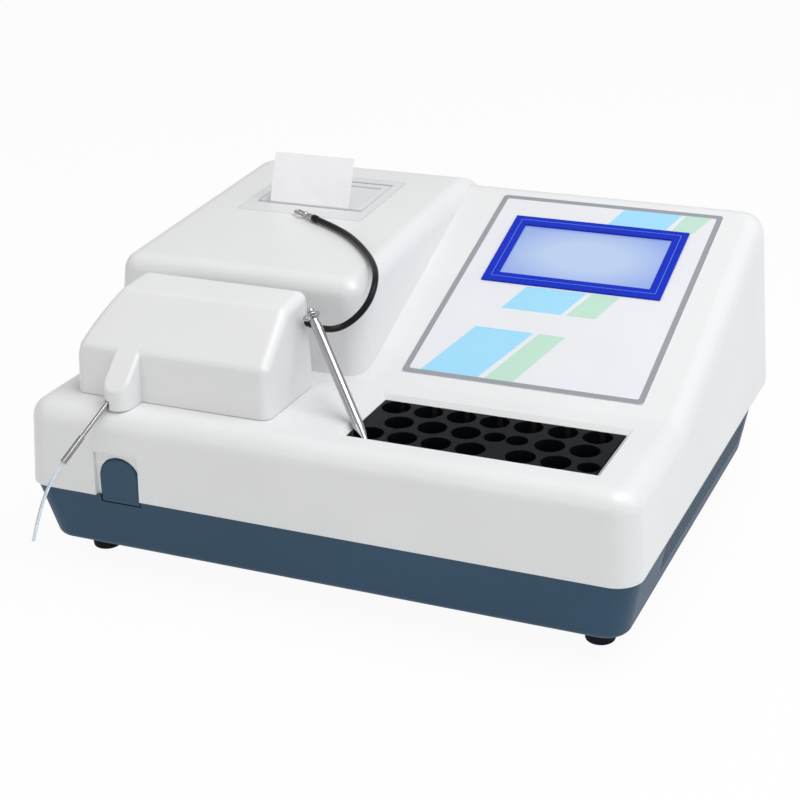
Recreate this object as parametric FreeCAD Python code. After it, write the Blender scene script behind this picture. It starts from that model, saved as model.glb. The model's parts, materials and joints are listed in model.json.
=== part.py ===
import FreeCAD, Part
import math
import os

# Benchtop photometer with a hinged printer door, a lift-off optics cover and a tube incubator.
# Millimetres. +X right, +Y to the rear, +Z up. The origin lies on the table under the
# centre of the box around the instrument. Positions inside the case are measured from the
# left side, the front of the rim and the table.

V = FreeCAD.Vector
X = V(1, 0, 0)
Y = V(0, 1, 0)
Z = V(0, 0, 1)

# General
wall = 3.0
seat_gap = 0.3
running_gap = 0.05
overrun = 5.0
tiny = 1e-3
screw_radius = 1.5

# White upper case
case_width = 380.0
case_depth = 322.0
rim_height = 54.0
deck_height = 106.0
case_lean = 2.8
corner_radius = 16.0
top_edge_radius = 12.0
slope_start = 104.0
slope_angle = math.radians(18.2)
crease_radius = 24.0

# Raised printer housing at the left
housing_width = 178.5
housing_foot = 104.0
housing_face_lean = 9.0
housing_front_height = 163.0
housing_top_angle = math.radians(3.8)
housing_flank_lean = 7.0
housing_edge_radius = 12.0

# Blue lower base
base_height = 16.0
base_top_inset = 1.4
base_bottom_inset = 9.0
base_rear_setback = 38.0
base_corner_radius = 15.0
base_edge_radius = 5.0
base_floor = 3.0
vent_count = 34
vent_pitch = 5.6
vent_width = 2.2
vent_low = 29.0
vent_high = 47.0
vent_first = 72.0

# Rear wall of the base, with its connectors. Distances from the left side, height of their middle.
rear_middle = 36.0
fan_place = 60.0
waste_place = 112.0
serial_place = 212.0
switch_place = 292.0
inlet_place = 332.0
fan_size = 30.0
fan_depth = 10.0
fan_bore_radius = 13.6
fan_hub_radius = 6.5
fan_plate = 1.5
fan_pin_radius = 1.0
fan_blade_thickness = 1.0
fan_blade_pitch = 35.0
fan_blade_count = 7
grille_bar = 2.2
grille_step = 3.8
inlet_width = 27.0
inlet_height = 20.0
inlet_depth = 22.0
inlet_flange = 2.0
inlet_border = 2.5
inlet_wall = 2.4
inlet_socket_depth = 15.0
inlet_pin_width = 4.0
inlet_pin_thickness = 2.0
inlet_pin_spread = 7.0
inlet_pin_rise = 2.0
switch_width = 13.0
switch_height = 19.4
switch_border = 1.4
switch_flange = 1.5
switch_depth = 14.0
switch_wall = 1.3
rocker_rise = 3.2
rocker_dip = 1.2
rocker_throw = math.radians(20.0)
rocker_pivot_depth = 3.0
serial_width = 17.0
serial_height = 8.6
serial_taper = 1.2
serial_flange_width = 30.8
serial_flange_height = 12.5
serial_flange = 1.0
serial_depth = 10.0
serial_reach = 5.6
serial_wall = 1.0
barb_radius = 4.2
barb_bore_radius = 2.2
barb_length = 20.0
barb_step = 4.0
barb_flange_radius = 8.0
barb_flange = 2.5
barb_thread_radius = 5.0
barb_nut = 3.0

# Feet
foot_radius = 10.0
foot_taper = 1.5
foot_side_inset = 30.0
foot_front_inset = 37.0
foot_rear_inset = 72.0
foot_recess_radius = 4.2
foot_recess_depth = 6.0
boss_radius = 5.0
boss_height = 6.0

# Incubator
opening_left = 197.5
opening_width = 154.0
opening_front = 24.5
opening_depth = 64.0
opening_chamfer = 3.2
block_drop = 2.6
block_height = 42.0
block_gap = 0.6
tray_wall = 1.6
tray_gap = 1.0
tray_flange = 6.0
hole_radius = 8.6
small_hole_radius = 6.4
hole_depth = 36.0
hole_pitch = 20.45
row_pitch = 19.4
first_hole = 14.0
first_row = 51.8
right_group_shift = 9.0
heater_thickness = 2.0

# Tube holes, as shares of the hole pitch and of the row pitch from the rear left one
large_hole_shares = [
    (0, 0), (1, 0), (2, 0), (3, 0), (4, 0), (5, 0), (6, 0),
    (0.5, 1), (1.5, 1), (2.5, 1),
    (0, 2), (1, 2), (2, 2), (3, 2)]
small_hole_shares = [(3.35, 1), (4.0, 1)]
right_large_hole_shares = [(4.5, 1), (5.5, 1), (4, 2), (5, 2)]
right_small_hole_shares = [(5.9, 2)]

# Control panel and display
panel_left_margin = 19.5
panel_right_margin = 31.0
panel_start = 11.5
panel_length = 191.0
panel_thickness = 0.5
bezel_left_margin = 17.0
bezel_right_margin = 16.5
bezel_top_margin = 23.5
bezel_length = 71.5
bezel_height = 1.2
bezel_wall = 2.0
bezel_flange = 4.0
bezel_rim_depth = 9.0
screen_border = 9.0
screen_thickness = 1.8
display_board_thickness = 5.5

# Printer
printer_left = 39.5
printer_width = 90.0
printer_front = 209.0
printer_depth = 76.0
printer_plate = 2.0
printer_strip = 15.5
printer_border = 4.0
tub_depth = 52.0
tub_wall = 2.0
slot_width = 3.0
door_gap = 0.5
door_thickness = 2.2
door_dish = 1.0
door_dish_border = 5.0
door_pin_radius = 1.2
door_pin_length = 3.0
cheek_thickness = 2.0
cheek_margin = 3.0
platen_radius = 5.0
platen_shaft_radius = 2.0
platen_place = 22.5
platen_drop = 8.0
platen_overlap = 1.0
paper_width = 58.0
paper_thickness = 0.3
paper_rise = 33.0
paper_bend_height = 1.0
paper_tail = 8.0
paper_lean = math.radians(24.0)
roll_place = 45.0
roll_drop = 29.0
roll_radius = 19.0
spindle_radius = 6.0
spindle_end_radius = 3.0
head_clearance = 0.7
head_height = 16.0
head_chamfer = 4.0
head_overlap = 6.0

# Optics cover
cover_left = 25.0
cover_right = 154.0
cover_front = 26.0
cover_back = 88.0
cover_face_height = 30.5
cover_height = 61.0
cover_slope_end = 57.0
cover_slope_height = 57.5
cover_front_lean = 1.5
cover_side_lean = 1.0
cover_back_lean = 2.5
cover_wall = 2.4
cover_edge_radius = 6.0
cover_shoulder_start = 24.0
cover_shoulder_width = 21.0
cover_shoulder_bulge = 2.6
nose_left = 53.5
nose_right = 70.5
nose_tip = 8.0
nose_tip_height = 12.5
nose_radius = 7.6
nose_edge_radius = 2.5
lip_drop = 3.0
lip_wall = 1.6
lip_gap = 0.5
needle_notch = 4.4

# Optics well and flow cell
well_side = 9.0
well_front = 8.0
well_depth = 34.0
well_wall = 2.0
well_flange = 5.0
cell_length = 34.0
cell_depth = 30.0
cell_height = 24.0
cell_window_radius = 3.0
detector_gap = 5.0
detector_can_radius = 4.5
lamp_house_left = 112.0
lamp_house_length = 28.0
lamp_house_depth = 28.0
lamp_house_height = 27.0
lamp_bore_radius = 7.0
lamp_bore_floor = 2.0
lamp_foot_height = 5.0
lamp_glass_radius = 4.5
lamp_glass_height = 9.0
light_path_radius = 5.0
fin_depth = 3.0
fin_gap = 1.6
fin_pitch = 4.0
lens_radius = 8.0
lens_seat = 6.0
lens_curve_radius = 17.0
lens_thickness = 4.6
wheel_place = 88.3
wheel_radius = 20.0
wheel_thickness = 5.0
filter_radius = 4.0
filter_thickness = 2.0
filter_circle = 14.0
filter_count = 8
wheel_shaft_radius = 1.5
wheel_motor_radius = 9.0
wheel_motor_length = 13.8
wheel_motor_gap = 1.3
wheel_bracket_thickness = 1.6
wheel_bracket_width = 26.0
wheel_bracket_rise = 11.5
wheel_bracket_foot = 12.0

# Probe
needle_radius = 1.3
needle_inner_radius = 0.8
needle_side_angle = math.radians(15.0)
needle_down_angle = math.radians(33.0)
needle_exit = (57.0, 8.0, 3.0)
needle_inside = 52.0
needle_outside = 28.0
sleeve_radius = 1.9
sleeve_length = 14.0
tube_radius = 1.0
holder_length = 12.0
holder_width = 12.0
tube_drops = [(0.0, 0.0), (7.2, 5.6), (15.2, 14.6), (20.9, 25.0), (26.8, 39.0)]

# Aspirate button
button_left = 53.0
button_width = 26.0
button_low = -4.0
button_high = 24.5
button_thickness = 6.0
button_travel = 3.0
button_gap = 0.6
button_proud = 1.5
recess_margin = 3.0
recess_depth = 3.0
button_flange = 2.0
button_flange_margin = 1.8
stem_radius = 4.0
stem_height = 62.0
stem_length = 24.0
plunger_radius = 1.5
plunger_length = 6.0
key_bracket_thickness = 2.0
key_bracket_place = 22.0
key_bracket_length = 28.0
key_bracket_height = 42.0
key_switch_length = 12.0
key_switch_width = 20.0
key_switch_height = 12.0
key_switch_spare = 4.0

# Touch pen and lanyard
pen_radius = 3.2
pen_tip_length = 20.0
pen_tip_radius = 1.2
pen_top = (160.0, 72.0, 159.5)
pen_end = (215.8, 30.6, 92.7)
pen_knob_radius = 2.4
pen_knob_length = 2.2
pen_neck_radius = 1.5
pen_neck_length = 3.0
pen_shoulder_length = 2.4
pen_collar_length = 3.0
pen_ring_radius = 4.4
pen_ring_wire = 0.8
pen_ring_toward = (-5.6, 5.9, -6.4)
bulb_radius = 2.3
bulb_length = 5.0
cord_radius = 2.0
boot_radius = 2.5
boot_length = 5.0
ferrule_radius = 2.1
ferrule_length = 5.5
clasp_neck_radius = 1.1
clasp_neck_length = 2.0
clasp_radius = 2.1
clasp_wire = 0.8
clasp_hook_length = 8.0
clasp_hook_width = 1.9
lanyard_route = [
    (159.5, 85.5, 142.5), (166.0, 95.0, 139.5), (174.5, 101.0, 144.5), (181.5, 107.0, 153.7),
    (182.0, 117.0, 163.5), (172.5, 137.0, 167.0), (152.0, 163.0, 168.7), (128.5, 185.0, 170.2),
    (105.5, 197.0, 171.2)]

# Inside
chassis_thickness = 2.0
chassis_margin = 20.0
chassis_corner = 8.0
standoff_radius = 3.0
standoff_height = 6.0
standoff_inset = 6.0
board_thickness = 1.6
board_left = 125.0
board_right = 235.0
board_front = 110.0
board_back = 240.0
sink_height = 18.0
sink_base = 4.0
sink_width = 40.0
sink_depth = 30.0
plug_height = 9.0
plug_depth = 8.0
plug_width = 60.0
chip_side = 24.0
chip_height = 3.0
supply_left = 252.0
supply_right = 345.0
supply_front = 140.0
supply_back = 248.0
supply_height = 38.0
supply_wall = 1.2
supply_slot = 3.0
supply_slot_pitch = 8.0
supply_slot_inset = 12.0
pump_place = 72.0
pump_height = 68.0
pump_front = 94.0
pump_head_radius = 22.0
pump_chamber_radius = 18.0
pump_head_depth = 14.0
pump_wall = 2.0
pump_hub_radius = 6.0
pump_roller_radius = 4.0
pump_roller_circle = 12.0
pump_roller_count = 3
pump_shaft_radius = 2.0
pump_motor_radius = 14.0
pump_motor_length = 30.0
pump_bracket_thickness = 2.0
pump_bracket_width = 50.0
pump_bracket_foot = 24.0

# Derived places
needle_direction = V(
    -math.sin(needle_side_angle) * math.cos(needle_down_angle),
    -math.cos(needle_side_angle) * math.cos(needle_down_angle),
    -math.sin(needle_down_angle))
sleeve_end = V(needle_exit[0], needle_exit[1], 0) + needle_direction * (needle_outside + sleeve_length)
reach = sleeve_radius * math.sqrt(1 - needle_direction.y ** 2) - sleeve_end.y
left = -case_width / 2
front = (reach - case_depth) / 2
lean_span = deck_height - rim_height
base_rear = case_depth - base_rear_setback
chassis_low = base_height + base_floor + boss_height
chassis_top = chassis_low + chassis_thickness
panel_left = housing_width + panel_left_margin
panel_width = case_width - panel_left - panel_right_margin
bezel_left = panel_left + bezel_left_margin
bezel_width = panel_width - bezel_left_margin - bezel_right_margin
bezel_start = panel_start + panel_length - bezel_top_margin - bezel_length
cell_x = (nose_left + nose_right) / 2
cell_y = (cover_front + cover_back) / 2
well_low = deck_height - well_depth
well_floor = well_low + well_wall + seat_gap
light_z = well_floor + cell_height / 2
wheel_z = light_z + filter_circle
printer_start = (printer_front - housing_foot - housing_face_lean) / math.cos(housing_top_angle)
button_x = button_left + button_width / 2


def place(x, y, z):
    """Point from distances to the left side, the front of the rim and the table."""
    return V(left + x, front + y, z)


def box(x, y, z):
    """Block between (low, high) pairs measured as in place."""
    return Part.makeBox(x[1] - x[0], y[1] - y[0], z[1] - z[0], place(x[0], y[0], z[0]))


def rod(start, direction, radius, length):
    return Part.makeCylinder(radius, length, start, direction)


def pipe(start, direction, radius, inner, length):
    return rod(start, direction, radius, length).cut(rod(start, direction, inner, length))


def face(points):
    return Part.Face(Part.makePolygon(points + points[:1]))


def across(points, x):
    """Extrude a (y, z) outline along X."""
    return face([place(x[0], y, z) for y, z in points]).extrude(X * (x[1] - x[0]))


def along(points, y):
    """Extrude an (x, z) outline along Y."""
    return face([place(x, y[0], z) for x, z in points]).extrude(Y * (y[1] - y[0]))


def upright(points, z):
    """Extrude an (x, y) outline along Z."""
    return face([place(x, y, z[0]) for x, y in points]).extrude(Z * (z[1] - z[0]))


def ring(x, y, z, radius):
    """Wire around a rectangle with rounded corners at height z."""
    edges = []
    corners = [(x[0], y[0], 1, 1), (x[1], y[0], -1, 1), (x[1], y[1], -1, -1), (x[0], y[1], 1, -1)]
    slack = radius * (1 - math.sqrt(0.5))
    arcs = []
    for cx, cy, sx, sy in corners:
        ends = [place(cx, cy + sy * radius, z), place(cx + sx * radius, cy, z)]
        if sx * sy < 0:
            ends.reverse()
        arcs.append((ends[0], place(cx + sx * slack, cy + sy * slack, z), ends[1]))
    for i in range(len(arcs)):
        edges.append(Part.Arc(*arcs[i]).toShape())
        edges.append(Part.makeLine(arcs[i][2], arcs[(i + 1) % len(arcs)][0]))
    return Part.Wire(edges)


def tapered(low, high):
    """Solid between two rings, each given as the arguments of ring."""
    return Part.makeLoft([ring(*low), ring(*high)], True, True)


def rounded(shape, radius, chosen):
    """Fillet the edges for which chosen(first end, middle, last end) is true."""
    corner = place(0, 0, 0)
    picked = []
    for edge in shape.Edges:
        first, last = edge.ParameterRange
        ends = [edge.valueAt(p) - corner for p in (first, (first + last) / 2, last)]
        if chosen(*ends):
            picked.append(edge)
    return shape.makeFillet(radius, picked)


def united(shapes):
    result = shapes[0]
    for shape in shapes[1:]:
        result = result.fuse(shape)
    return result.removeSplitter()


def group(shapes):
    return Part.makeCompound(shapes)


def spread(low, high, margin):
    """The (low, high) pair drawn in by a margin at both ends."""
    return low + margin, high - margin


def about(middle, size):
    """The (low, high) pair of a size around its middle."""
    return middle - size / 2, middle + size / 2


def turned(points, start, axis):
    """Solid of revolution from (distance along the axis, radius) points."""
    side = Z if abs(axis.z) < 0.5 else X
    side = (side - axis * side.dot(axis)).normalize()
    outline = face([start + axis * along_axis + side * radius for along_axis, radius in points])
    return outline.revolve(start, axis, 360)


def save(name, shape):
    if shape.ShapeType == "Compound" and len(shape.Solids) == 1:
        shape = shape.Solids[0]
    shape.exportStep("parts/" + name + ".step")
    print(name, len(shape.Solids), "solids", len(shape.Faces), "faces", round(shape.Volume), "mm3",
          shape.isValid())


def slope_z(y):
    return deck_height + (y - slope_start) * math.tan(slope_angle)


def housing_z(y):
    return housing_front_height + (y - housing_foot - housing_face_lean) * math.tan(housing_top_angle)


def lean_at(z):
    return case_lean * (z - rim_height) / lean_span


def on_slope(x, s, lift):
    """Point on the sloping panel face: s up the slope, lift out of it."""
    y = slope_start + s * math.cos(slope_angle) - lift * math.sin(slope_angle)
    return place(x, y, deck_height + s * math.sin(slope_angle) + lift * math.cos(slope_angle))


def slope_slab(x, s, lift):
    """Block lying on the slope between (low, high) pairs."""
    slab = Part.makeBox(x[1] - x[0], s[1] - s[0], lift[1] - lift[0])
    slab.rotate(V(0, 0, 0), X, math.degrees(slope_angle))
    slab.translate(on_slope(x[0], s[0], lift[0]))
    return slab


def on_housing(x, s, lift):
    """Point on the housing top: s back from its front edge, lift out of it."""
    brow = housing_foot + housing_face_lean
    y = brow + s * math.cos(housing_top_angle) - lift * math.sin(housing_top_angle)
    z = housing_front_height + s * math.sin(housing_top_angle) + lift * math.cos(housing_top_angle)
    return place(x, y, z)


def housing_slab(x, s, lift):
    slab = Part.makeBox(x[1] - x[0], s[1] - s[0], lift[1] - lift[0])
    slab.rotate(V(0, 0, 0), X, math.degrees(housing_top_angle))
    slab.translate(on_housing(x[0], s[0], lift[0]))
    return slab


# Upper case

def case_block(inset, low, high):
    """Drafted block with rounded upright corners, inset from the outside of the case."""
    def outline(z):
        side = inset + lean_at(z)
        return ((side, case_width - side), (side, case_depth - side), z, corner_radius - inset)
    return tapered(outline(low), outline(high))


def case_form(inset, low):
    """Outer form of the case, or its hollow when inset by the wall."""
    top = slope_z(case_depth) + overrun
    block = case_block(inset, low, top)
    deck = deck_height - inset
    rise = math.tan(slope_angle)
    bend = slope_start + inset * (1 / math.cos(slope_angle) - 1) / rise
    crest = slope_z(case_depth) - inset / math.cos(slope_angle)
    side_view = [(-overrun, low), (-overrun, deck), (bend, deck), (case_depth, crest), (case_depth, low)]
    body = across(side_view, (-overrun, case_width + overrun))
    if inset == 0:
        body = rounded(body, crease_radius,
                       lambda a, m, b: abs(m.y - bend) < tiny and abs(m.z - deck) < tiny)
    body = body.common(block)

    def on_rim(a, m, b):
        last = case_depth - corner_radius - inset - case_lean
        crease = abs(a.y - b.y) < tiny and inset + top_edge_radius < m.y < last
        return min(a.z, b.z) > deck - tiny and not crease
    body = rounded(body, top_edge_radius - inset, on_rim)

    foot = housing_foot + inset
    brow = foot + housing_face_lean
    rise = housing_front_height - deck_height
    drop = inset / math.cos(housing_top_angle)
    flank = housing_width - inset
    raised = across([(foot - (deck - low) * housing_face_lean / rise, low),
                     (brow, housing_z(brow) - drop),
                     (case_depth, housing_z(case_depth) - drop),
                     (case_depth, low)], (-overrun, case_width))
    raised = raised.common(along([(-overrun, low), (-overrun, top),
                                  (flank - housing_flank_lean * (top - deck) / rise, top),
                                  (flank + housing_flank_lean * (deck - low) / rise, low)],
                                 (-overrun, case_depth + overrun)))
    raised = raised.common(block)

    def on_housing_edge(a, m, b):
        upright = m.y < brow + tiny
        above = max(a.z, b.z) > max(deck, low + tiny)
        return above and (upright or min(a.z, b.z) > deck + rise / 2) \
            and min(a.y, b.y) < case_depth - corner_radius - inset
    raised = rounded(raised, housing_edge_radius - inset, on_housing_edge)
    return united([body, raised])


def build_upper_case():
    shell = case_form(0, rim_height)
    hollow = case_form(wall, rim_height + wall)
    shell = shell.cut(hollow)
    mouth = ring(*base_ring(rim_height, wall, wall)[:2], rim_height - overrun, base_corner_radius - wall)
    shell = shell.cut(Part.Face(mouth).extrude(Z * (wall + overrun + overrun)))
    shell = shell.fuse(button_backing())
    shell = shell.cut(incubator_mouth())
    shell = shell.cut(display_window())
    shell = shell.cut(printer_mouth())
    shell = shell.cut(well_mouth())
    shell = shell.cut(button_pocket())
    return shell


def incubator_mouth():
    x = (opening_left, opening_left + opening_width)
    y = (opening_front, opening_front + opening_depth)
    c = opening_chamfer
    sunk = box(spread(*x, c), spread(*y, c), (deck_height - wall - overrun, deck_height + overrun))
    rings = []
    for margin, z in ((c, deck_height - wall), (0, deck_height)):
        (x0, x1), (y0, y1) = spread(*x, margin), spread(*y, margin)
        corners = ((x0, y0), (x1, y0), (x1, y1), (x0, y1), (x0, y0))
        rings.append(Part.makePolygon([place(*p, z) for p in corners]))
    return sunk.fuse(Part.makeLoft(rings, True, True))


def display_window():
    x = (bezel_left + bezel_flange, bezel_left + bezel_width - bezel_flange)
    s = (bezel_start + bezel_flange, bezel_start + bezel_length - bezel_flange)
    return slope_slab(x, s, (-wall - overrun, overrun))


def printer_outline(margin):
    """Sides, front and back of the printer drawn in by a margin, s from its front edge."""
    return spread(printer_left, printer_left + printer_width, margin), spread(0, printer_depth, margin)


def printer_slab(x, s, lift):
    return housing_slab(x, (printer_start + s[0], printer_start + s[1]), lift)


def printer_point(x, s, lift):
    return on_housing(x, printer_start + s, lift)


def printer_mouth():
    hole = printer_slab(*printer_outline(printer_border), (-wall - overrun, overrun))
    seat = printer_slab(*printer_outline(-seat_gap), (-printer_plate - seat_gap, overrun))
    return hole.fuse(seat)


def well_span():
    return ((cover_left + well_side, cover_right - well_side),
            (cover_front + well_front, cover_back - well_front))


def well_mouth():
    x, y = well_span()
    return box(x, y, (deck_height - wall - overrun, deck_height + overrun))


def button_outline(margin, thickness, y):
    """Arched key shape seen from the front, extruded back from y."""
    x = (button_left - margin, button_left + button_width + margin)
    arch = button_width / 2 + margin
    low = rim_height + button_low - margin
    high = rim_height + button_high - arch + margin
    points = [place(x[0], y, low), place(x[0], y, high), place(x[1], y, high), place(x[1], y, low)]
    crown = Part.Arc(points[1], place(button_x, y, high + arch), points[2]).toShape()
    wire = Part.Wire([Part.makeLine(points[0], points[1]), crown,
                      Part.makeLine(points[2], points[3]), Part.makeLine(points[3], points[0])])
    return Part.Face(wire).extrude(Y * thickness)


def button_backing():
    """Wall behind the recess of the button."""
    return box((button_left - recess_margin - wall, button_left + button_width + button_gap + wall),
               (wall - button_proud / 2, recess_depth + wall),
               (rim_height, rim_height + button_high + recess_margin + wall))


def button_pocket():
    pocket = box((button_left - recess_margin, button_left + button_width + button_gap),
                 (-overrun, recess_depth), (rim_height - overrun, rim_height + button_high + recess_margin))
    passage = button_outline(button_gap, recess_depth + wall + overrun + overrun, -overrun)
    return pocket.fuse(passage)


# Lower base

def base_ring(z, inset, radius_cut):
    share = (z - base_height) / (rim_height - base_height)
    edge = base_bottom_inset + (base_top_inset - base_bottom_inset) * share + inset
    return ((edge, case_width - edge), (edge, base_rear - inset), z, base_corner_radius - radius_cut)


def build_lower_base():
    tub = tapered(base_ring(base_height, 0, 0), base_ring(rim_height, 0, 0))
    tub = rounded(tub, base_edge_radius, lambda a, m, b: max(a.z, b.z) < base_height + tiny)
    hollow = tapered(base_ring(base_height + base_floor, wall, wall),
                     base_ring(rim_height + overrun, wall, wall))
    tub = tub.cut(hollow)
    slots = []
    for i in range(vent_count):
        y = vent_first + i * vent_pitch
        side = base_bottom_inset + wall + overrun
        for x in ((-overrun, side), (case_width - side, case_width + overrun)):
            slots.append(box(x, (y, y + vent_width), (vent_low, vent_high)))
    tub = tub.cut(group(slots))
    tub = tub.cut(button_outline(button_gap, base_bottom_inset + wall + overrun, -overrun))
    bosses = [rod(place(x, y, base_height + base_floor), Z, boss_radius, boss_height)
              for x, y in foot_places()]
    tub = united([tub] + bosses)
    pilots = [rod(place(x, y, base_height - overrun), Z, screw_radius + running_gap,
                  boss_height + base_floor + overrun)
              for x, y in foot_places()]
    return tub.cut(group(pilots)).cut(rear_openings())


def rear_cut(middle, width, height):
    return box(about(middle, width), (base_rear - wall - overrun, base_rear + overrun),
               about(rear_middle, height))


def rear_rod(middle, radius):
    return rod(place(middle, base_rear - wall - overrun, rear_middle), Y, radius, wall + overrun + overrun)


def rear_openings():
    """Openings for the connectors, and the ring grille in front of the fan."""
    grille = []
    outer = fan_bore_radius
    while outer > grille_step + grille_bar:
        grille.append(rear_rod(fan_place, outer).cut(rear_rod(fan_place, outer - grille_step)))
        outer -= grille_step + grille_bar
    spokes = rear_cut(fan_place, grille_bar, fan_size).fuse(rear_cut(fan_place, fan_size, grille_bar))
    openings = [group(grille).cut(spokes)]
    openings.append(rear_cut(inlet_place, inlet_width, inlet_height))
    openings.append(rear_cut(switch_place, switch_width, switch_height))
    openings.append(rear_cut(serial_place, serial_width + seat_gap, serial_height + seat_gap))
    openings.append(rear_rod(waste_place, barb_thread_radius + running_gap))
    return group(openings)


def foot_places():
    """Front left, front right, rear left and rear right."""
    return [(x, y) for y in (foot_front_inset, case_depth - foot_rear_inset)
            for x in (foot_side_inset, case_width - foot_side_inset)]


def build_foot(corner):
    x, y = foot_places()[corner]
    cone = Part.makeCone(foot_radius - foot_taper, foot_radius, base_height, place(x, y, 0))
    cone = rounded(cone, foot_taper, lambda a, m, b: m.z < tiny)
    cone = cone.cut(rod(place(x, y, -overrun), Z, foot_recess_radius, overrun + foot_recess_depth))
    return cone.cut(rod(place(x, y, 0), Z, screw_radius + running_gap, base_height + overrun))


# Parts of the rear wall

def build_fan_frame():
    back = base_rear - wall - seat_gap
    body = box(about(fan_place, fan_size), (back - fan_depth, back), about(rear_middle, fan_size))
    body = body.cut(rod(place(fan_place, back - fan_depth - overrun, rear_middle), Y, fan_bore_radius,
                        fan_depth + overrun + overrun))
    low = place(fan_place, back - fan_depth, rear_middle)
    arm = box(about(fan_place, fan_size - fan_plate), (back - fan_depth, back - fan_depth + fan_plate),
              about(rear_middle, grille_bar))
    cross = arm.copy()
    cross.rotate(low, Y, 90)
    plate = rod(low, Y, fan_hub_radius, fan_plate)
    pin = rod(low, Y, fan_pin_radius, fan_depth - fan_plate)
    return united([body, arm, cross, plate, pin])


def build_fan_rotor():
    low = place(fan_place, base_rear - wall - seat_gap - fan_depth + fan_plate + seat_gap, rear_middle)
    length = fan_depth - fan_plate - fan_plate
    hub = pipe(low, Y, fan_hub_radius, fan_pin_radius + running_gap, length)
    blades = []
    reach_out = fan_bore_radius - seat_gap - fan_pin_radius
    for i in range(fan_blade_count):
        chord = length - fan_plate
        blade = Part.makeBox(fan_blade_thickness, chord, reach_out - fan_hub_radius / 2,
                             V(-fan_blade_thickness / 2, -chord / 2, fan_hub_radius / 2))
        blade.rotate(V(0, 0, 0), Z, fan_blade_pitch)
        blade.rotate(V(0, 0, 0), Y, 360 * i / fan_blade_count)
        blade.translate(low + Y * (length / 2))
        blades.append(blade)
    rotor = united([hub] + blades)
    return rotor.cut(rod(low - Y * overrun, Y, fan_pin_radius + running_gap, length + overrun + overrun))


def build_mains_inlet():
    """Socket with three blades, open to the rear."""
    width, height = inlet_width - seat_gap, inlet_height - seat_gap
    back = base_rear + inlet_flange
    body = box(about(inlet_place, width), (back - inlet_depth, base_rear), about(rear_middle, height))
    rim = box(about(inlet_place, inlet_width + inlet_border), (base_rear, back),
              about(rear_middle, inlet_height + inlet_border))
    floor = back - inlet_socket_depth
    socket = box(about(inlet_place, width - inlet_wall - inlet_wall), (floor, back + overrun),
                 about(rear_middle, height - inlet_wall - inlet_wall))
    blades = []
    for x, z in ((-inlet_pin_spread, -inlet_pin_rise), (0, inlet_pin_rise),
                 (inlet_pin_spread, -inlet_pin_rise)):
        blades.append(box(about(inlet_place + x, inlet_pin_thickness), (floor - tiny, back - inlet_flange),
                          about(rear_middle + z, inlet_pin_width)))
    return united([body.fuse(rim).cut(socket)] + blades)


def build_switch_frame():
    width, height = switch_width - seat_gap, switch_height - seat_gap
    back = base_rear + switch_flange
    body = box(about(switch_place, width), (back - switch_depth, base_rear), about(rear_middle, height))
    rim = box(about(switch_place, switch_width + switch_border), (base_rear, back),
              about(rear_middle, switch_height + switch_border))
    well = box(about(switch_place, width - switch_wall - switch_wall),
               (back - switch_depth + switch_wall, back + overrun),
               about(rear_middle, height - switch_wall - switch_wall))
    pivot = rod(rocker_pivot() - X * switch_width / 2, X, fan_pin_radius, switch_width)
    return united([body.fuse(rim).cut(well), pivot.common(body.fuse(rim))])


def rocker_pivot():
    return place(switch_place, base_rear + switch_flange - rocker_pivot_depth, rear_middle)


def build_power_switch():
    """Rocker in its off place, tilted by half of its throw about the pivot."""
    width = switch_width - seat_gap - switch_wall - switch_wall - seat_gap - seat_gap
    half = (switch_height - seat_gap) / 2 - switch_wall - rocker_dip
    pivot = rocker_pivot()
    outline = [(-half, -rocker_pivot_depth), (-half, rocker_pivot_depth + rocker_rise),
               (0, rocker_pivot_depth + rocker_dip),
               (half, rocker_pivot_depth + rocker_rise), (half, -rocker_pivot_depth)]
    start = pivot - X * (width / 2)
    key = face([start + Y * y + Z * z for z, y in outline]).extrude(X * width)
    key = key.cut(rod(start - X * overrun, X, fan_pin_radius + running_gap, width + overrun + overrun))
    key.rotate(pivot, X, -math.degrees(rocker_throw / 2))
    return key


def serial_outline(margin, y, length):
    half, low = serial_width / 2 - margin, serial_height / 2 - margin
    points = [(-half, low), (half, low), (half - serial_taper, -low), (serial_taper - half, -low)]
    return face([place(serial_place + x, y, rear_middle + z) for x, z in points]).extrude(Y * length)


def build_serial_port():
    flange = box(about(serial_place, serial_flange_width), (base_rear, base_rear + serial_flange),
                 about(rear_middle, serial_flange_height))
    shell = serial_outline(0, base_rear - serial_depth, serial_depth + serial_reach)
    socket = serial_outline(serial_wall, base_rear - serial_wall, serial_reach + overrun)
    return united([flange, shell]).cut(socket)


def build_waste_port():
    """Barbed hose connector through the rear wall, with its nut inside."""
    points = [(-wall - barb_nut - seat_gap, 0), (-wall - barb_nut - seat_gap, barb_thread_radius),
              (0, barb_thread_radius),
              (0, barb_flange_radius), (barb_flange, barb_flange_radius), (barb_flange, barb_radius)]
    z = barb_flange
    while z + barb_step < barb_length:
        points += [(z + barb_step / 2, barb_radius),
                   (z + barb_step, barb_bore_radius + (barb_radius - barb_bore_radius) / 2)]
        z += barb_step
        points.append((z, barb_radius))
    points[-1] = (barb_length, barb_bore_radius + running_gap + running_gap)
    points.append((barb_length, 0))
    port = turned(points, place(waste_place, base_rear, rear_middle), Y)
    inside = base_rear - wall - seat_gap
    nut = pipe(place(waste_place, inside - barb_nut, rear_middle), Y, barb_flange_radius,
               barb_thread_radius, barb_nut)
    port = united([port, nut])
    return port.cut(rod(place(waste_place, base_rear - wall - barb_nut - overrun, rear_middle), Y,
                        barb_bore_radius,
                        wall + barb_nut + overrun + barb_length + overrun))


# Sheet metal, boards and supply

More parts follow.
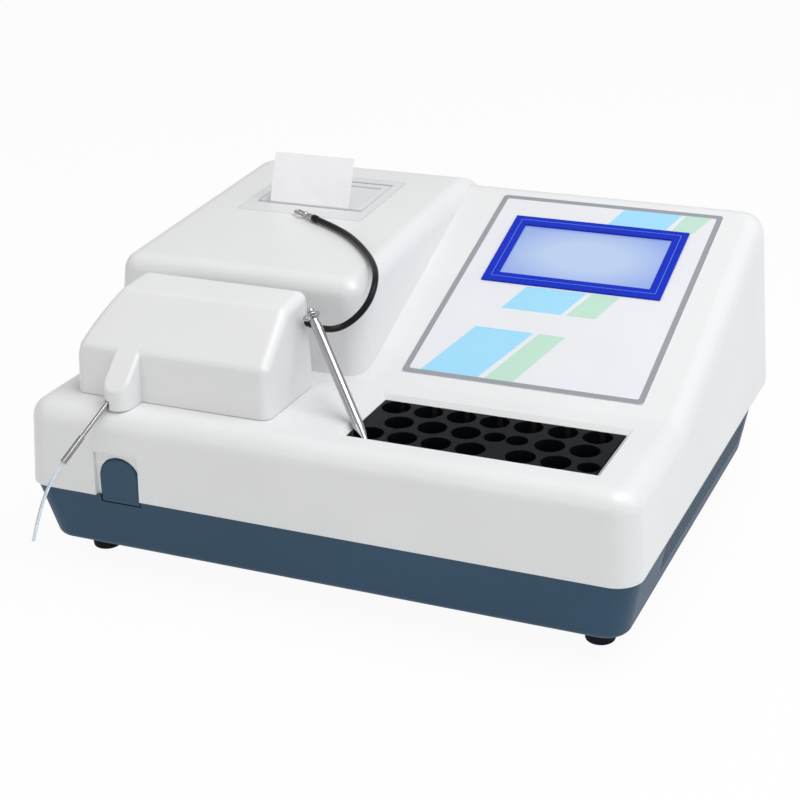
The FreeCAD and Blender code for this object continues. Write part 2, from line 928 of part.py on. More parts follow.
def build_chassis_plate():
    """Steel plate on the bosses of the base, with pressed-in standoffs for the board."""
    span = (spread(0, case_width, chassis_margin), (chassis_margin, base_rear - chassis_margin))
    plate = tapered((*span, chassis_low, chassis_corner), (*span, chassis_top, chassis_corner))
    return united([plate] + [rod(place(x, y, chassis_top), Z, standoff_radius, standoff_height)
                             for x in spread(board_left, board_right, standoff_inset)
                             for y in spread(board_front, board_back, standoff_inset)])


def build_power_supply():
    x, y = (supply_left, supply_right), (supply_front, supply_back)
    z = (chassis_top, chassis_top + supply_height)
    cover = box(x, y, z).cut(box(spread(*x, supply_wall), spread(*y, supply_wall), spread(*z, supply_wall)))
    slots = []
    at = y[0] + supply_slot_inset
    while at + supply_slot < y[1] - supply_slot_inset:
        slots.append(box(spread(*x, supply_slot_inset), (at, at + supply_slot),
                         (z[1] - supply_wall - tiny, z[1] + overrun)))
        at += supply_slot_pitch
    return cover.cut(group(slots))


def board_low():
    return chassis_top + standoff_height


def build_main_board():
    low = board_low()
    top = low + board_thickness
    middle = (board_left + board_right) / 2
    pieces = [box((board_left, board_right), (board_front, board_back), (low, top))]
    fins = box(about(middle, sink_width),
               (board_back - standoff_inset - sink_depth, board_back - standoff_inset),
               (top, top + sink_height))
    grooves = []
    at = middle - sink_width / 2 + fin_pitch
    while at + fin_gap < middle + sink_width / 2:
        grooves.append(box((at - fin_gap, at), (board_front, board_back),
                           (top + sink_base, top + sink_height + overrun)))
        at += fin_pitch
    pieces.append(fins.cut(group(grooves)))
    pieces.append(box(about(middle, plug_width), (board_front, board_front + plug_depth),
                      (top, top + plug_height)))
    for x in (middle - plug_width / 2, middle + plug_width / 2 - chip_side):
        y = board_front + plug_depth + chip_side
        pieces.append(box((x, x + chip_side), (y, y + chip_side), (top, top + chip_height)))
    return united(pieces)


# Sample pump

def pump_axis(y):
    return place(pump_place, y, pump_height)


def build_pump_bracket():
    back = pump_front + pump_head_depth + seat_gap
    x = about(pump_place, pump_bracket_width)
    rear = back + pump_bracket_thickness
    plate = across([(back, chassis_top), (rear + pump_bracket_foot, chassis_top),
                    (rear + pump_bracket_foot, chassis_top + pump_bracket_thickness),
                    (rear, chassis_top + pump_bracket_thickness),
                    (rear, pump_height + pump_head_radius), (back, pump_height + pump_head_radius)], x)
    return plate.cut(rod(pump_axis(back - overrun), Y, pump_hub_radius,
                         pump_bracket_thickness + overrun + overrun))


def build_pump_head():
    """Round chamber, open to the front, with the shaft hole in its back wall."""
    cup = pipe(pump_axis(pump_front), Y, pump_head_radius, pump_shaft_radius + seat_gap, pump_head_depth)
    return cup.cut(rod(pump_axis(pump_front - overrun), Y, pump_chamber_radius,
                       pump_head_depth - pump_wall + overrun))


def build_pump_motor():
    back = pump_front + pump_head_depth + seat_gap + pump_bracket_thickness + seat_gap
    return turned([(pump_front + pump_wall - back, 0), (pump_front + pump_wall - back, pump_shaft_radius),
                   (0, pump_shaft_radius),
                   (0, pump_motor_radius), (pump_motor_length, pump_motor_radius), (pump_motor_length, 0)],
                   pump_axis(back), Y)


def build_pump_rotor():
    length = pump_head_depth - pump_wall - pump_wall - seat_gap
    start = pump_axis(pump_front + pump_wall)
    pieces = [rod(start, Y, pump_hub_radius, length)]
    for i in range(pump_roller_count):
        turn = math.tau * i / pump_roller_count
        out = (X * math.sin(turn) + Z * math.cos(turn)) * pump_roller_circle
        pieces.append(rod(start + out, Y, pump_roller_radius, length))
        arm = box(about(pump_place, pump_roller_radius),
                  (pump_front + pump_wall, pump_front + pump_wall + length),
                  (pump_height, pump_height + pump_roller_circle))
        arm.rotate(pump_axis(pump_front), Y, math.degrees(turn))
        pieces.append(arm)
    return united(pieces).cut(rod(start - Y * overrun, Y, pump_shaft_radius + running_gap,
                                  length + overrun + overrun))


# Optics cover

def cover_form(inset):
    base = deck_height + seat_gap
    low = base if inset == 0 else base - overrun
    side = across([
        (cover_front + inset, low),
        (cover_front + cover_front_lean + inset, deck_height + cover_face_height - inset / 2),
        (cover_slope_end + inset / 2, deck_height + cover_slope_height - inset),
        (cover_back - cover_back_lean - inset, deck_height + cover_height - inset),
        (cover_back - inset, low)], (cover_left - overrun, cover_right + overrun))
    top = deck_height + cover_height + overrun
    shoulder = deck_height + cover_shoulder_start
    crest = deck_height + cover_height
    outline = [place(cover_left + inset, cover_front - overrun, low),
               place(cover_left + cover_side_lean + inset, cover_front - overrun, shoulder),
               place(cover_left + cover_shoulder_width + inset, cover_front - overrun, crest - inset),
               place(cover_left + cover_shoulder_width + inset, cover_front - overrun, top),
               place(cover_right - cover_side_lean - inset, cover_front - overrun, top),
               place(cover_right - inset, cover_front - overrun, low)]
    middle = (outline[1] + outline[2]) / 2 + V(-1, 0, 1) * (cover_shoulder_bulge * math.sqrt(0.5))
    edges = [Part.makeLine(outline[0], outline[1]), Part.Arc(outline[1], middle, outline[2]).toShape()]
    for i in range(2, len(outline)):
        edges.append(Part.makeLine(outline[i], outline[(i + 1) % len(outline)]))
    front_view = Part.Face(Part.Wire(edges)).extrude(Y * (cover_back - cover_front + overrun + overrun))
    hood = side.common(front_view)
    hood = rounded(hood, cover_edge_radius - inset, lambda a, m, b: max(a.z, b.z) > low + tiny)
    return united([hood, nose_form(inset, low)])


def nose_form(inset, low):
    """Beak that carries the needle out of the cover."""
    x = (nose_left + inset, nose_right - inset)
    radius = nose_radius - inset
    tip = nose_tip + inset
    root = cover_front + cover_edge_radius + cover_edge_radius
    slack = radius * (1 - math.sqrt(0.5))
    corner = [place(x[0], root, low), place(x[0], tip + radius, low), place(x[0] + radius, tip, low),
              place(x[1] - radius, tip, low), place(x[1], tip + radius, low), place(x[1], root, low)]
    edges = [Part.makeLine(corner[0], corner[1]),
             Part.Arc(corner[1], place(x[0] + slack, tip + slack, low), corner[2]).toShape(),
             Part.makeLine(corner[2], corner[3]),
             Part.Arc(corner[3], place(x[1] - slack, tip + slack, low), corner[4]).toShape(),
             Part.makeLine(corner[4], corner[5]), Part.makeLine(corner[5], corner[0])]
    crest = deck_height + cover_face_height
    post = Part.Face(Part.Wire(edges)).extrude(Z * (crest + cover_height - low))
    pitch = (cover_slope_height - cover_face_height) / (cover_slope_end - cover_front - cover_front_lean)
    lift = inset * math.sqrt(1 + pitch * pitch)
    tip_z = deck_height + nose_tip_height - lift
    fall = (crest - deck_height - nose_tip_height) / (cover_front + cover_front_lean - nose_tip)
    wedge = across([(nose_tip - overrun, low), (nose_tip - overrun, tip_z - overrun * fall),
                    (root, tip_z + (root - nose_tip) * fall), (root, low)],
                   (nose_left - overrun, nose_right + overrun))
    nose = post.common(wedge)
    if inset == 0:
        nose = rounded(nose, nose_edge_radius,
                       lambda a, m, b: min(a.z, b.z) > low + tiny and m.y < cover_front)
    return nose


def build_optics_cover():
    cover = cover_form(0).cut(cover_form(cover_wall))
    x, y = well_span()
    outer = ((x[0] + lip_gap, x[1] - lip_gap), (y[0] + lip_gap, y[1] - lip_gap))
    inner = ((outer[0][0] + lip_wall, outer[0][1] - lip_wall),
             (outer[1][0] + lip_wall, outer[1][1] - lip_wall))
    lift = deck_height + seat_gap
    webs = box((cover_left + cover_wall / 2, outer[0][1]), outer[1], (lift, lift + lip_drop))
    webs = webs.fuse(box((outer[0][1] - lip_wall, cover_right - cover_wall / 2), outer[1],
                         (lift, lift + lip_drop)))
    lip = box(outer[0], outer[1], (deck_height - lip_drop, lift + lip_drop))
    lip = lip.fuse(webs)
    lip = lip.cut(box(inner[0], inner[1], (deck_height - lip_drop - overrun, lift + lip_drop + overrun)))
    cover = cover.fuse(lip).cut(needle_slot())
    return cover


def needle_point(distance):
    return place(needle_exit[0], needle_exit[1], deck_height + needle_exit[2]) + needle_direction * distance


def needle_slot():
    """Notch in the beak, open downwards, so that the cover lifts clear of the needle."""
    start = needle_point(-needle_inside)
    end = needle_point(needle_outside)
    sideways = Z.cross(needle_direction).normalize() * (needle_notch / 2)
    down = Z * (end.z - deck_height - cover_height)
    profile = [start + Z * (needle_notch / 2), end + Z * (needle_notch / 2), end + down, start + down]
    return face([p - sideways for p in profile]).extrude(sideways * 2)


# Probe

def build_needle():
    return pipe(needle_point(-needle_inside), needle_direction, needle_radius, needle_inner_radius,
                needle_inside + needle_outside)


def build_sleeve():
    start = needle_point(needle_outside)
    neck = pipe(start - needle_direction * (sleeve_length / 3), needle_direction, sleeve_radius,
                needle_radius + running_gap, sleeve_length / 3)
    body = pipe(start, needle_direction, sleeve_radius, tube_radius, sleeve_length)
    return united([neck, body])


def bent_path(points):
    """Straight runs joined by tangent arcs, as large as the shorter run allows."""
    share = 0.45
    edges = []
    last = points[0]
    for i in range(1, len(points) - 1):
        before = points[i] - points[i - 1]
        after = points[i + 1] - points[i]
        turn = before.getAngle(after)
        run = min(before.Length, after.Length) * share
        radius = run / math.tan(turn / 2)
        print("  bend", i, "radius", round(radius, 1), "turn", round(math.degrees(turn)))
        start = points[i] - V(before).normalize() * run
        end = points[i] + V(after).normalize() * run
        inward = (V(after).normalize() - V(before).normalize()).normalize()
        middle = points[i] + inward * (radius / math.cos(turn / 2) - radius)
        if (start - last).Length > tiny:
            edges.append(Part.makeLine(last, start))
        edges.append(Part.Arc(start, middle, end).toShape())
        last = end
    edges.append(Part.makeLine(last, points[-1]))
    return Part.Wire(edges)


def cord(points, radius):
    path = bent_path(points)
    circle = Part.Wire(Part.makeCircle(radius, points[0], points[1] - points[0]))
    solid = path.makePipeShell([circle], True, False)
    print("  cord length", round(path.Length, 1), "volume share",
          round(solid.Volume / (path.Length * math.pi * radius ** 2), 4))
    return solid


def probe_tube_points():
    tip = needle_point(needle_outside + sleeve_length)
    away = V(-math.sin(needle_side_angle), -math.cos(needle_side_angle), 0)
    return [tip + away * out - Z * drop for out, drop in tube_drops]


def build_probe_holder():
    """Post that grips the inner end of the needle, standing on the flow cell block."""
    grip = needle_point(-needle_inside + holder_length / 2) - place(0, 0, 0)
    post = box(about(grip.x, holder_width), about(grip.y, holder_width),
               (well_floor + cell_height + seat_gap, grip.z + holder_width / 2))
    bore = rod(needle_point(-needle_inside - overrun), needle_direction, needle_radius + running_gap,
               overrun + overrun + holder_length)
    return post.cut(bore)


# Flow cell and photometer, in the well under the cover

def build_optics_well():
    x, y = well_span()
    under = deck_height - wall - seat_gap
    outer = box(spread(*x, -well_wall), spread(*y, -well_wall), (well_low, under))
    flange = box(spread(*x, -well_flange), spread(*y, -well_flange), (under - well_wall, under))
    inner = box(x, y, (well_low + well_wall, under + overrun))
    return outer.fuse(flange).cut(inner).removeSplitter()


def light_axis(x):
    return place(x, cell_y, light_z)


def build_flow_cell():
    block = box(about(cell_x, cell_length), about(cell_y, cell_depth),
                (well_floor, well_floor + cell_height))
    return block.cut(rod(light_axis(cell_x - cell_length / 2 - overrun), X, cell_window_radius,
                         cell_length + overrun + overrun))


def build_detector_board():
    face_x = cell_x - cell_length / 2 - seat_gap
    back = face_x - detector_gap
    board = box((back - board_thickness, back), about(cell_y, cell_depth),
                (well_floor, well_floor + cell_height))
    return united([board, rod(light_axis(back - tiny), X, detector_can_radius, detector_gap + tiny)])


def build_lamp_house():
    """Finned block with the lamp's bore from above and the light's path to the left."""
    x = (lamp_house_left, lamp_house_left + lamp_house_length)
    y = about(cell_y, lamp_house_depth)
    z = (well_floor, well_floor + lamp_house_height)
    house = box(x, y, z)
    grooves = []
    at = z[0] + fin_pitch
    while at + fin_gap < z[1]:
        grooves.append(box((x[1] - fin_depth, x[1] + overrun), (y[0] - overrun, y[1] + overrun),
                           (at, at + fin_gap)))
        at += fin_pitch
    middle = (x[0] + x[1]) / 2
    bore = rod(place(middle, cell_y, z[0] + lamp_bore_floor), Z, lamp_bore_radius,
               lamp_house_height + overrun)
    path = rod(light_axis(x[0] - overrun), X, light_path_radius, middle - x[0] + overrun)
    seat = rod(light_axis(x[0] - overrun), X, lens_radius, lens_seat + overrun)
    return house.cut(group(grooves)).cut(bore).cut(path).cut(seat)


def build_lamp():
    low = well_floor + lamp_bore_floor + seat_gap
    start = place(lamp_house_left + lamp_house_length / 2, cell_y, low)
    foot = rod(start, Z, lamp_bore_radius - seat_gap, lamp_foot_height)
    glass = rod(start + Z * lamp_foot_height, Z, lamp_glass_radius, lamp_glass_height)
    dome = Part.makeSphere(lamp_glass_radius, start + Z * (lamp_foot_height + lamp_glass_height))
    return united([foot, glass, dome])


def build_condenser_lens():
    """Lens with two round faces, against the shoulder of its seat."""
    back = lamp_house_left + lens_seat - seat_gap
    offset = lens_curve_radius - lens_thickness / 2
    middle = light_axis(back - lens_thickness / 2)
    edge = rod(middle - X * lens_thickness, X, lens_radius - running_gap, lens_thickness + lens_thickness)
    lens = Part.makeSphere(lens_curve_radius, middle - X * offset).common(
        Part.makeSphere(lens_curve_radius, middle + X * offset))
    return lens.common(edge)


def wheel_axis(x):
    return place(x, cell_y, wheel_z)


def build_wheel_motor():
    rear = wheel_place + wheel_thickness + wheel_motor_gap
    tip = wheel_place - seat_gap
    return turned([(tip - rear, 0), (tip - rear, wheel_shaft_radius), (0, wheel_shaft_radius),
                   (0, wheel_motor_radius),
                   (wheel_motor_length, wheel_motor_radius), (wheel_motor_length, 0)], wheel_axis(rear), X)


def build_wheel_bracket():
    x = wheel_place + wheel_thickness + wheel_motor_gap + wheel_motor_length + seat_gap
    edge = x + wheel_bracket_thickness
    outline = [(edge, well_floor), (edge, wheel_z + wheel_bracket_rise), (x, wheel_z + wheel_bracket_rise),
               (x, well_floor + wheel_bracket_thickness),
               (x - wheel_bracket_foot, well_floor + wheel_bracket_thickness),
               (x - wheel_bracket_foot, well_floor)]
    plate = along(outline, about(cell_y, wheel_bracket_width))
    return plate.cut(rod(light_axis(x - overrun), X, light_path_radius,
                         overrun + overrun + wheel_bracket_thickness))


def filter_axes():
    for i in range(filter_count):
        turn = math.tau * i / filter_count
        yield wheel_axis(wheel_place) + (Y * math.sin(turn) - Z * math.cos(turn)) * filter_circle


def build_filter_wheel():
    wheel = pipe(wheel_axis(wheel_place), X, wheel_radius, wheel_shaft_radius + running_gap,
                 wheel_thickness)
    holes = [rod(at - X * overrun, X, filter_radius,
                 wheel_thickness + overrun + overrun) for at in filter_axes()]
    return wheel.cut(group(holes))


def build_wheel_filters():
    inset = (wheel_thickness - filter_thickness) / 2
    return group([rod(at + X * inset, X, filter_radius - running_gap,
                      filter_thickness) for at in filter_axes()])


# Incubator

def block_top():
    return deck_height - block_drop


def hole_places():
    """Large and small tube holes, as x, y, radius from the left and front of the case."""
    x0 = opening_left + first_hole
    y0 = opening_front + first_row
    places = []
    for shares, shift, radius in ((large_hole_shares, 0, hole_radius),
                                  (small_hole_shares, 0, small_hole_radius),
                                  (right_large_hole_shares, right_group_shift, hole_radius),
                                  (right_small_hole_shares, right_group_shift, small_hole_radius)):
        places += [(x0 + column * hole_pitch + shift, y0 - row * row_pitch, radius) for column,
                   row in shares]
    return places


def block_span(margin):
    """Sides, front and back of the tube block drawn in by a margin."""
    inset = opening_chamfer + block_gap + margin
    return (spread(opening_left, opening_left + opening_width, inset),
            spread(opening_front, opening_front + opening_depth, inset))


def build_heater_plate():
    top = block_top() - block_height - seat_gap
    return box(*block_span(0), (top - heater_thickness, top))


def build_incubator_tray():
    """Tub under the deck that carries the tube block and its heater."""
    under = deck_height - wall - seat_gap
    floor = block_top() - block_height - seat_gap - heater_thickness - seat_gap
    tub = box(*block_span(-tray_gap - tray_wall), (floor - tray_wall, under))
    rim = box(*block_span(-tray_gap - tray_wall - tray_flange), (under - tray_wall, under))
    return tub.fuse(rim).cut(box(*block_span(-tray_gap), (floor, under + overrun))).removeSplitter()


def build_incubator_block():
    block = box(*block_span(0), (block_top() - block_height, block_top()))
    bores = [rod(place(hx, hy, block_top() - hole_depth), Z, r, hole_depth + overrun) for hx, hy,
             r in hole_places()]
    return block.cut(group(bores))


# Control panel and display

def panel_window(gap):
    """Opening of the display in the panel and the case, widened by a gap."""
    inset = bezel_flange - gap
    return spread(bezel_left, bezel_left + bezel_width, inset), spread(bezel_start,
                                                                       bezel_start + bezel_length, inset)


def build_control_panel():
    sheet = slope_slab((panel_left, panel_left + panel_width), (panel_start, panel_start + panel_length),
                       (0, panel_thickness))
    return sheet.cut(slope_slab(*panel_window(0), (-overrun, overrun)))


def build_display_bezel():
    top = panel_thickness + bezel_height
    plate = slope_slab((bezel_left, bezel_left + bezel_width), (bezel_start, bezel_start + bezel_length),
                       (panel_thickness, top))
    rim = slope_slab(*panel_window(-seat_gap), (top - bezel_rim_depth, panel_thickness))
    inner = slope_slab(*panel_window(-seat_gap - bezel_wall), (-bezel_rim_depth - overrun, panel_thickness))
    x = spread(bezel_left, bezel_left + bezel_width, screen_border)
    s = spread(bezel_start, bezel_start + bezel_length, screen_border)
    return united([plate, rim.cut(inner)]).cut(slope_slab(x, s, (-overrun, top + overrun)))


def build_display_screen():
    high = panel_thickness - seat_gap
    return slope_slab(*panel_window(-bezel_wall - seat_gap - seat_gap), (high - screen_thickness, high))


def build_display_board():
    high = panel_thickness - seat_gap - screen_thickness - seat_gap
    return slope_slab(*panel_window(-bezel_wall - seat_gap - seat_gap),
                      (high - display_board_thickness, high))


# Printer

def tub_span(margin):
    """Sides, front and back of the printer's tub, drawn in by a margin."""
    return printer_outline(printer_border + door_gap + margin)


def roll_axis(x):
    return printer_point(x, roll_place, -roll_drop)


def platen_axis(x):
    return printer_point(x, platen_place, -platen_drop)


def hinge_place():
    """Distance of the door's hinge behind the printer's front edge."""
    return tub_span(tub_wall)[1][1] - door_gap - door_thickness


def door_axis(x):
    return printer_point(x, hinge_place(), -door_thickness)


def build_printer_frame():
    top_plate = printer_slab(*printer_outline(0), (-printer_plate, 0))
    outer = printer_slab(*tub_span(0), (-tub_depth, -printer_plate))
    inner = printer_slab(*tub_span(tub_wall), (tub_wall - tub_depth, -printer_plate))
    frame = united([top_plate, outer.cut(inner)])
    x, s = tub_span(tub_wall)
    frame = frame.cut(printer_slab(x, (printer_strip, s[1]), (-printer_plate - tiny, overrun)))
    spindle_seats = rod(roll_axis(x[0] - tub_wall - overrun), X, spindle_end_radius + running_gap,
                        x[1] - x[0] + tub_wall + tub_wall + overrun + overrun)
    frame = frame.cut(spindle_seats)
    length = door_gap + door_pin_length + tiny
    pins = [rod(door_axis(x[0] - tiny), X, door_pin_radius, length),
            rod(door_axis(x[1] + tiny), X * -1, door_pin_radius, length)]
    return united([frame] + pins)


def door_span():
    return tub_span(tub_wall + door_gap)[0]


def printer_profile(points, x):
    """Extrude an outline of (distance from the front edge, lift) points along X."""
    return face([printer_point(x[0], s, lift) for s, lift in points]).extrude(X * (x[1] - x[0]))


def build_printer_door():
    """Lid with a shallow dish, a hinge barrel at its back and two cheeks for the platen."""
    x = door_span()
    start = printer_strip + slot_width
    rear = hinge_place()
    lid = printer_profile([(start, -door_thickness), (start + door_thickness / 2, 0), (rear, 0),
                           (rear, -door_thickness)], x)
    barrel = rod(door_axis(x[0]), X, door_thickness, x[1] - x[0])
    dish = printer_slab(spread(*x, door_dish_border), spread(start, rear, door_dish_border),
                        (-door_dish, overrun))
    pieces = [lid.fuse(barrel).cut(dish)]
    low = -platen_drop - cheek_margin
    cheek = [(start, -door_thickness), (start, low + cheek_margin), (start + cheek_margin, low),
             (platen_place + cheek_margin, low),
             (platen_place + cheek_margin + platen_drop, -door_thickness)]
    for side in ((x[0], x[0] + cheek_thickness), (x[1] - cheek_thickness, x[1])):
        pieces.append(printer_profile(cheek, side))
    door = united(pieces)
    door = door.cut(rod(platen_axis(x[0] - overrun), X, platen_shaft_radius + running_gap,
                        x[1] - x[0] + overrun + overrun))
    for end, way in ((x[0], 1), (x[1], -1)):
        door = door.cut(rod(door_axis(end - way * overrun), X * way, door_pin_radius + running_gap,
                            overrun + door_pin_length + door_gap))
    return door


def paper_middle():
    return printer_left + printer_width / 2


def build_platen_roller():
    x = about(paper_middle(), paper_width + platen_overlap + platen_overlap)
    return pipe(platen_axis(x[0]), X, platen_radius, platen_shaft_radius, x[1] - x[0])


def build_platen_shaft():
    x = door_span()
    return rod(platen_axis(x[0]), X, platen_shaft_radius, x[1] - x[0])


def build_roll_spindle():
    x = tub_span(0)[0]
    inside = spread(*x, tub_wall + seat_gap)
    return united([rod(roll_axis(x[0]), X, spindle_end_radius, x[1] - x[0]),
                   rod(roll_axis(inside[0]), X, spindle_radius, inside[1] - inside[0])])


def build_paper_roll():
    x = about(paper_middle(), paper_width)
    return pipe(roll_axis(x[0]), X, roll_radius, spindle_radius + running_gap, paper_width)


def build_paper_strip():
    """Paper from under the platen, round its front and up through the slot."""
    x = about(paper_middle(), paper_width)[0]
    near = platen_radius + seat_gap
    far = near + paper_thickness
    slack = math.sqrt(0.5)
    lean = (math.sin(paper_lean), math.cos(paper_lean))

    def point(s, lift):
        return printer_point(x, s, lift)

    def side(radius):
        bottom = point(platen_place, -platen_drop - radius)
        middle = point(platen_place - radius * slack, -platen_drop - radius * slack)
        front_point = point(platen_place - radius, -platen_drop)
        bend = point(platen_place - radius, paper_bend_height)
        top = point(platen_place - radius + paper_rise * lean[0], paper_bend_height + paper_rise * lean[1])
        tail = point(platen_place + paper_tail, -platen_drop - radius)
        return tail, bottom, middle, front_point, bend, top

    a, b = side(near), side(far)
    edges = [Part.makeLine(a[0], a[1]), Part.Arc(a[1], a[2], a[3]).toShape(), Part.makeLine(a[3], a[4]),
             Part.makeLine(a[4], a[5]), Part.makeLine(a[5], b[5]), Part.makeLine(b[5], b[4]),
             Part.makeLine(b[4], b[3]),
             Part.Arc(b[3], b[2], b[1]).toShape(), Part.makeLine(b[1], b[0]), Part.makeLine(b[0], a[0])]
    return Part.Face(Part.Wire(edges)).extrude(X * paper_width)


def build_print_head():
    x = about(paper_middle(), paper_width + head_overlap + head_overlap)
    first = tub_span(tub_wall)[1][0] + seat_gap
    last = platen_place - platen_radius - seat_gap - paper_thickness - head_clearance
    high = -printer_plate - seat_gap
    return printer_profile([(first, high), (last, high), (last, high - head_height + head_chamfer),
                            (last - head_chamfer, high - head_height), (first, high - head_height)], x)


# Aspirate button

def build_aspirate_button():
    y = recess_depth - button_proud
    cap = button_outline(0, button_thickness, y)
    cap = rounded(cap, button_proud, lambda a, m, b: max(a.y, b.y, m.y) < y + tiny)
    inside = recess_depth + wall + seat_gap
    flange = button_outline(button_flange_margin, button_flange, inside)
    flange = flange.cut(box((0, case_width), (0, case_depth), (0, rim_height + button_low)))
    body = button_outline(0, inside - y - button_thickness + tiny, y + button_thickness - tiny)
    stem = rod(place(button_x, inside, stem_height), Y, stem_radius, stem_length)
    plunger = rod(place(button_x, inside + stem_length, stem_height), Y, plunger_radius, plunger_length)
    return united([cap, body, flange, stem, plunger])


def build_button_bracket():
    """Sheet bracket whose front wall guides the stem and whose rear wall carries the switch."""
    t = key_bracket_thickness
    y = (key_bracket_place, key_bracket_place + key_bracket_length)
    low, high = chassis_top, chassis_top + key_bracket_height
    outline = [(y[0], low), (y[1], low), (y[1], high), (y[1] - t, high), (y[1] - t, low + t),
               (y[0] + t, low + t), (y[0] + t, high), (y[0], high)]
    bracket = across(outline, about(button_x, button_width))
    return bracket.cut(rod(place(button_x, y[0] - overrun, stem_height), Y, stem_radius + running_gap,
                           t + overrun + overrun))


def build_micro_switch():
    y = key_bracket_place + key_bracket_length - key_bracket_thickness - seat_gap
    body = box(about(button_x, key_switch_width), (y - key_switch_length, y),
               about(stem_height, key_switch_height))
    return body.cut(rod(place(button_x, y - key_switch_length - overrun, stem_height), Y,
                        plunger_radius + running_gap,
                        button_travel + key_switch_spare + overrun))


# Touch pen and lanyard

def pen_axis():
    """Top of the pen, its direction towards the tip, and its length."""
    top = place(*pen_top)
    way = place(*pen_end) - top
    return top, V(way).normalize(), way.Length


def pen_shoulder():
    return pen_knob_length + pen_neck_length + pen_shoulder_length


def build_pen_cap():
    top, way, length = pen_axis()
    neck = pen_knob_length + pen_neck_length
    edge = pen_shoulder()
    return turned([(0, 0), (0, pen_knob_radius - pen_ring_wire), (pen_ring_wire, pen_knob_radius),
                   (pen_knob_length, pen_knob_radius),
                   (pen_knob_length, pen_neck_radius), (neck, pen_neck_radius),
                   (edge, pen_radius - pen_ring_wire / 2),
                   (edge + pen_collar_length, pen_radius - pen_ring_wire / 2),
                   (edge + pen_collar_length, 0)], top, way)


def build_touch_pen():
    top, way, length = pen_axis()
    start = pen_shoulder() + pen_collar_length
    return turned([(start, 0), (start, pen_radius), (length - pen_tip_length, pen_radius),
                   (length - pen_tip_radius, pen_tip_radius), (length, 0)], top, way)


def ring_frame():
    """Middle of the ring, its axis along the pen, and the way to the lanyard's end."""
    top, way, length = pen_axis()
    toward = V(*pen_ring_toward)
    side = (toward - way * toward.dot(way)).normalize()
    slack = pen_ring_radius - pen_ring_wire - pen_neck_radius - running_gap
    return top + way * (pen_knob_length + pen_neck_length / 2) + side * slack, way, side


def build_pen_ring():
    middle, way, side = ring_frame()
    return Part.makeTorus(pen_ring_radius, pen_ring_wire, middle, way)


def lanyard_points():
    """Route of the lanyard from the bulb on the ring to the boot at the clasp."""
    middle, way, side = ring_frame()
    first = place(*lanyard_route[0])
    bulb = middle + side * (pen_ring_radius + pen_ring_wire + seat_gap + math.hypot(bulb_radius,
                                                                                    bulb_length / 2))
    return [bulb + (first - bulb).normalize() * (bulb_length / 2)] + [place(*p) for p in lanyard_route]


def clasp_axis():
    points = lanyard_points()
    return points[-1], (points[-1] - points[-2]).normalize()


def build_lanyard_ends():
    """Black end pieces of the lanyard, at the ring and at the clasp."""
    points = lanyard_points()
    edge = bulb_radius / 2
    bulb = turned([(0, 0), (0, bulb_radius - edge / 2), (edge, bulb_radius),
                   (bulb_length - edge, bulb_radius),
                   (bulb_length, bulb_radius - edge / 2), (bulb_length, 0)], points[0],
                   (points[0] - points[1]).normalize())
    start, way = clasp_axis()
    boot = turned([(0, 0), (0, cord_radius), (boot_length / 2, boot_radius), (boot_length, boot_radius),
                   (boot_length, 0)],
                  start, way)
    return group([bulb, boot])


def build_lanyard_clasp():
    """Steel ferrule, swivel ball and long hook, flat on the housing."""
    start, way = clasp_axis()
    edge = boot_length + ferrule_length
    ball = edge + clasp_neck_length + clasp_radius
    stem = turned([(boot_length, 0), (boot_length, ferrule_radius), (edge, ferrule_radius),
                   (edge, clasp_neck_radius),
                   (ball, clasp_neck_radius), (ball, 0)], start, way)
    middle = start + way * ball
    side = way.cross(Z).normalize() * clasp_hook_width
    far = middle + way * clasp_hook_length
    path = Part.Wire([Part.makeLine(middle + side, far + side),
                      Part.Arc(far + side, far + way * clasp_hook_width, far - side).toShape(),
                      Part.makeLine(far - side, middle - side)])
    hook = path.makePipeShell([Part.Wire(Part.makeCircle(clasp_wire, middle + side, way))], True, False)
    return united([stem, Part.makeSphere(clasp_radius, middle), hook])


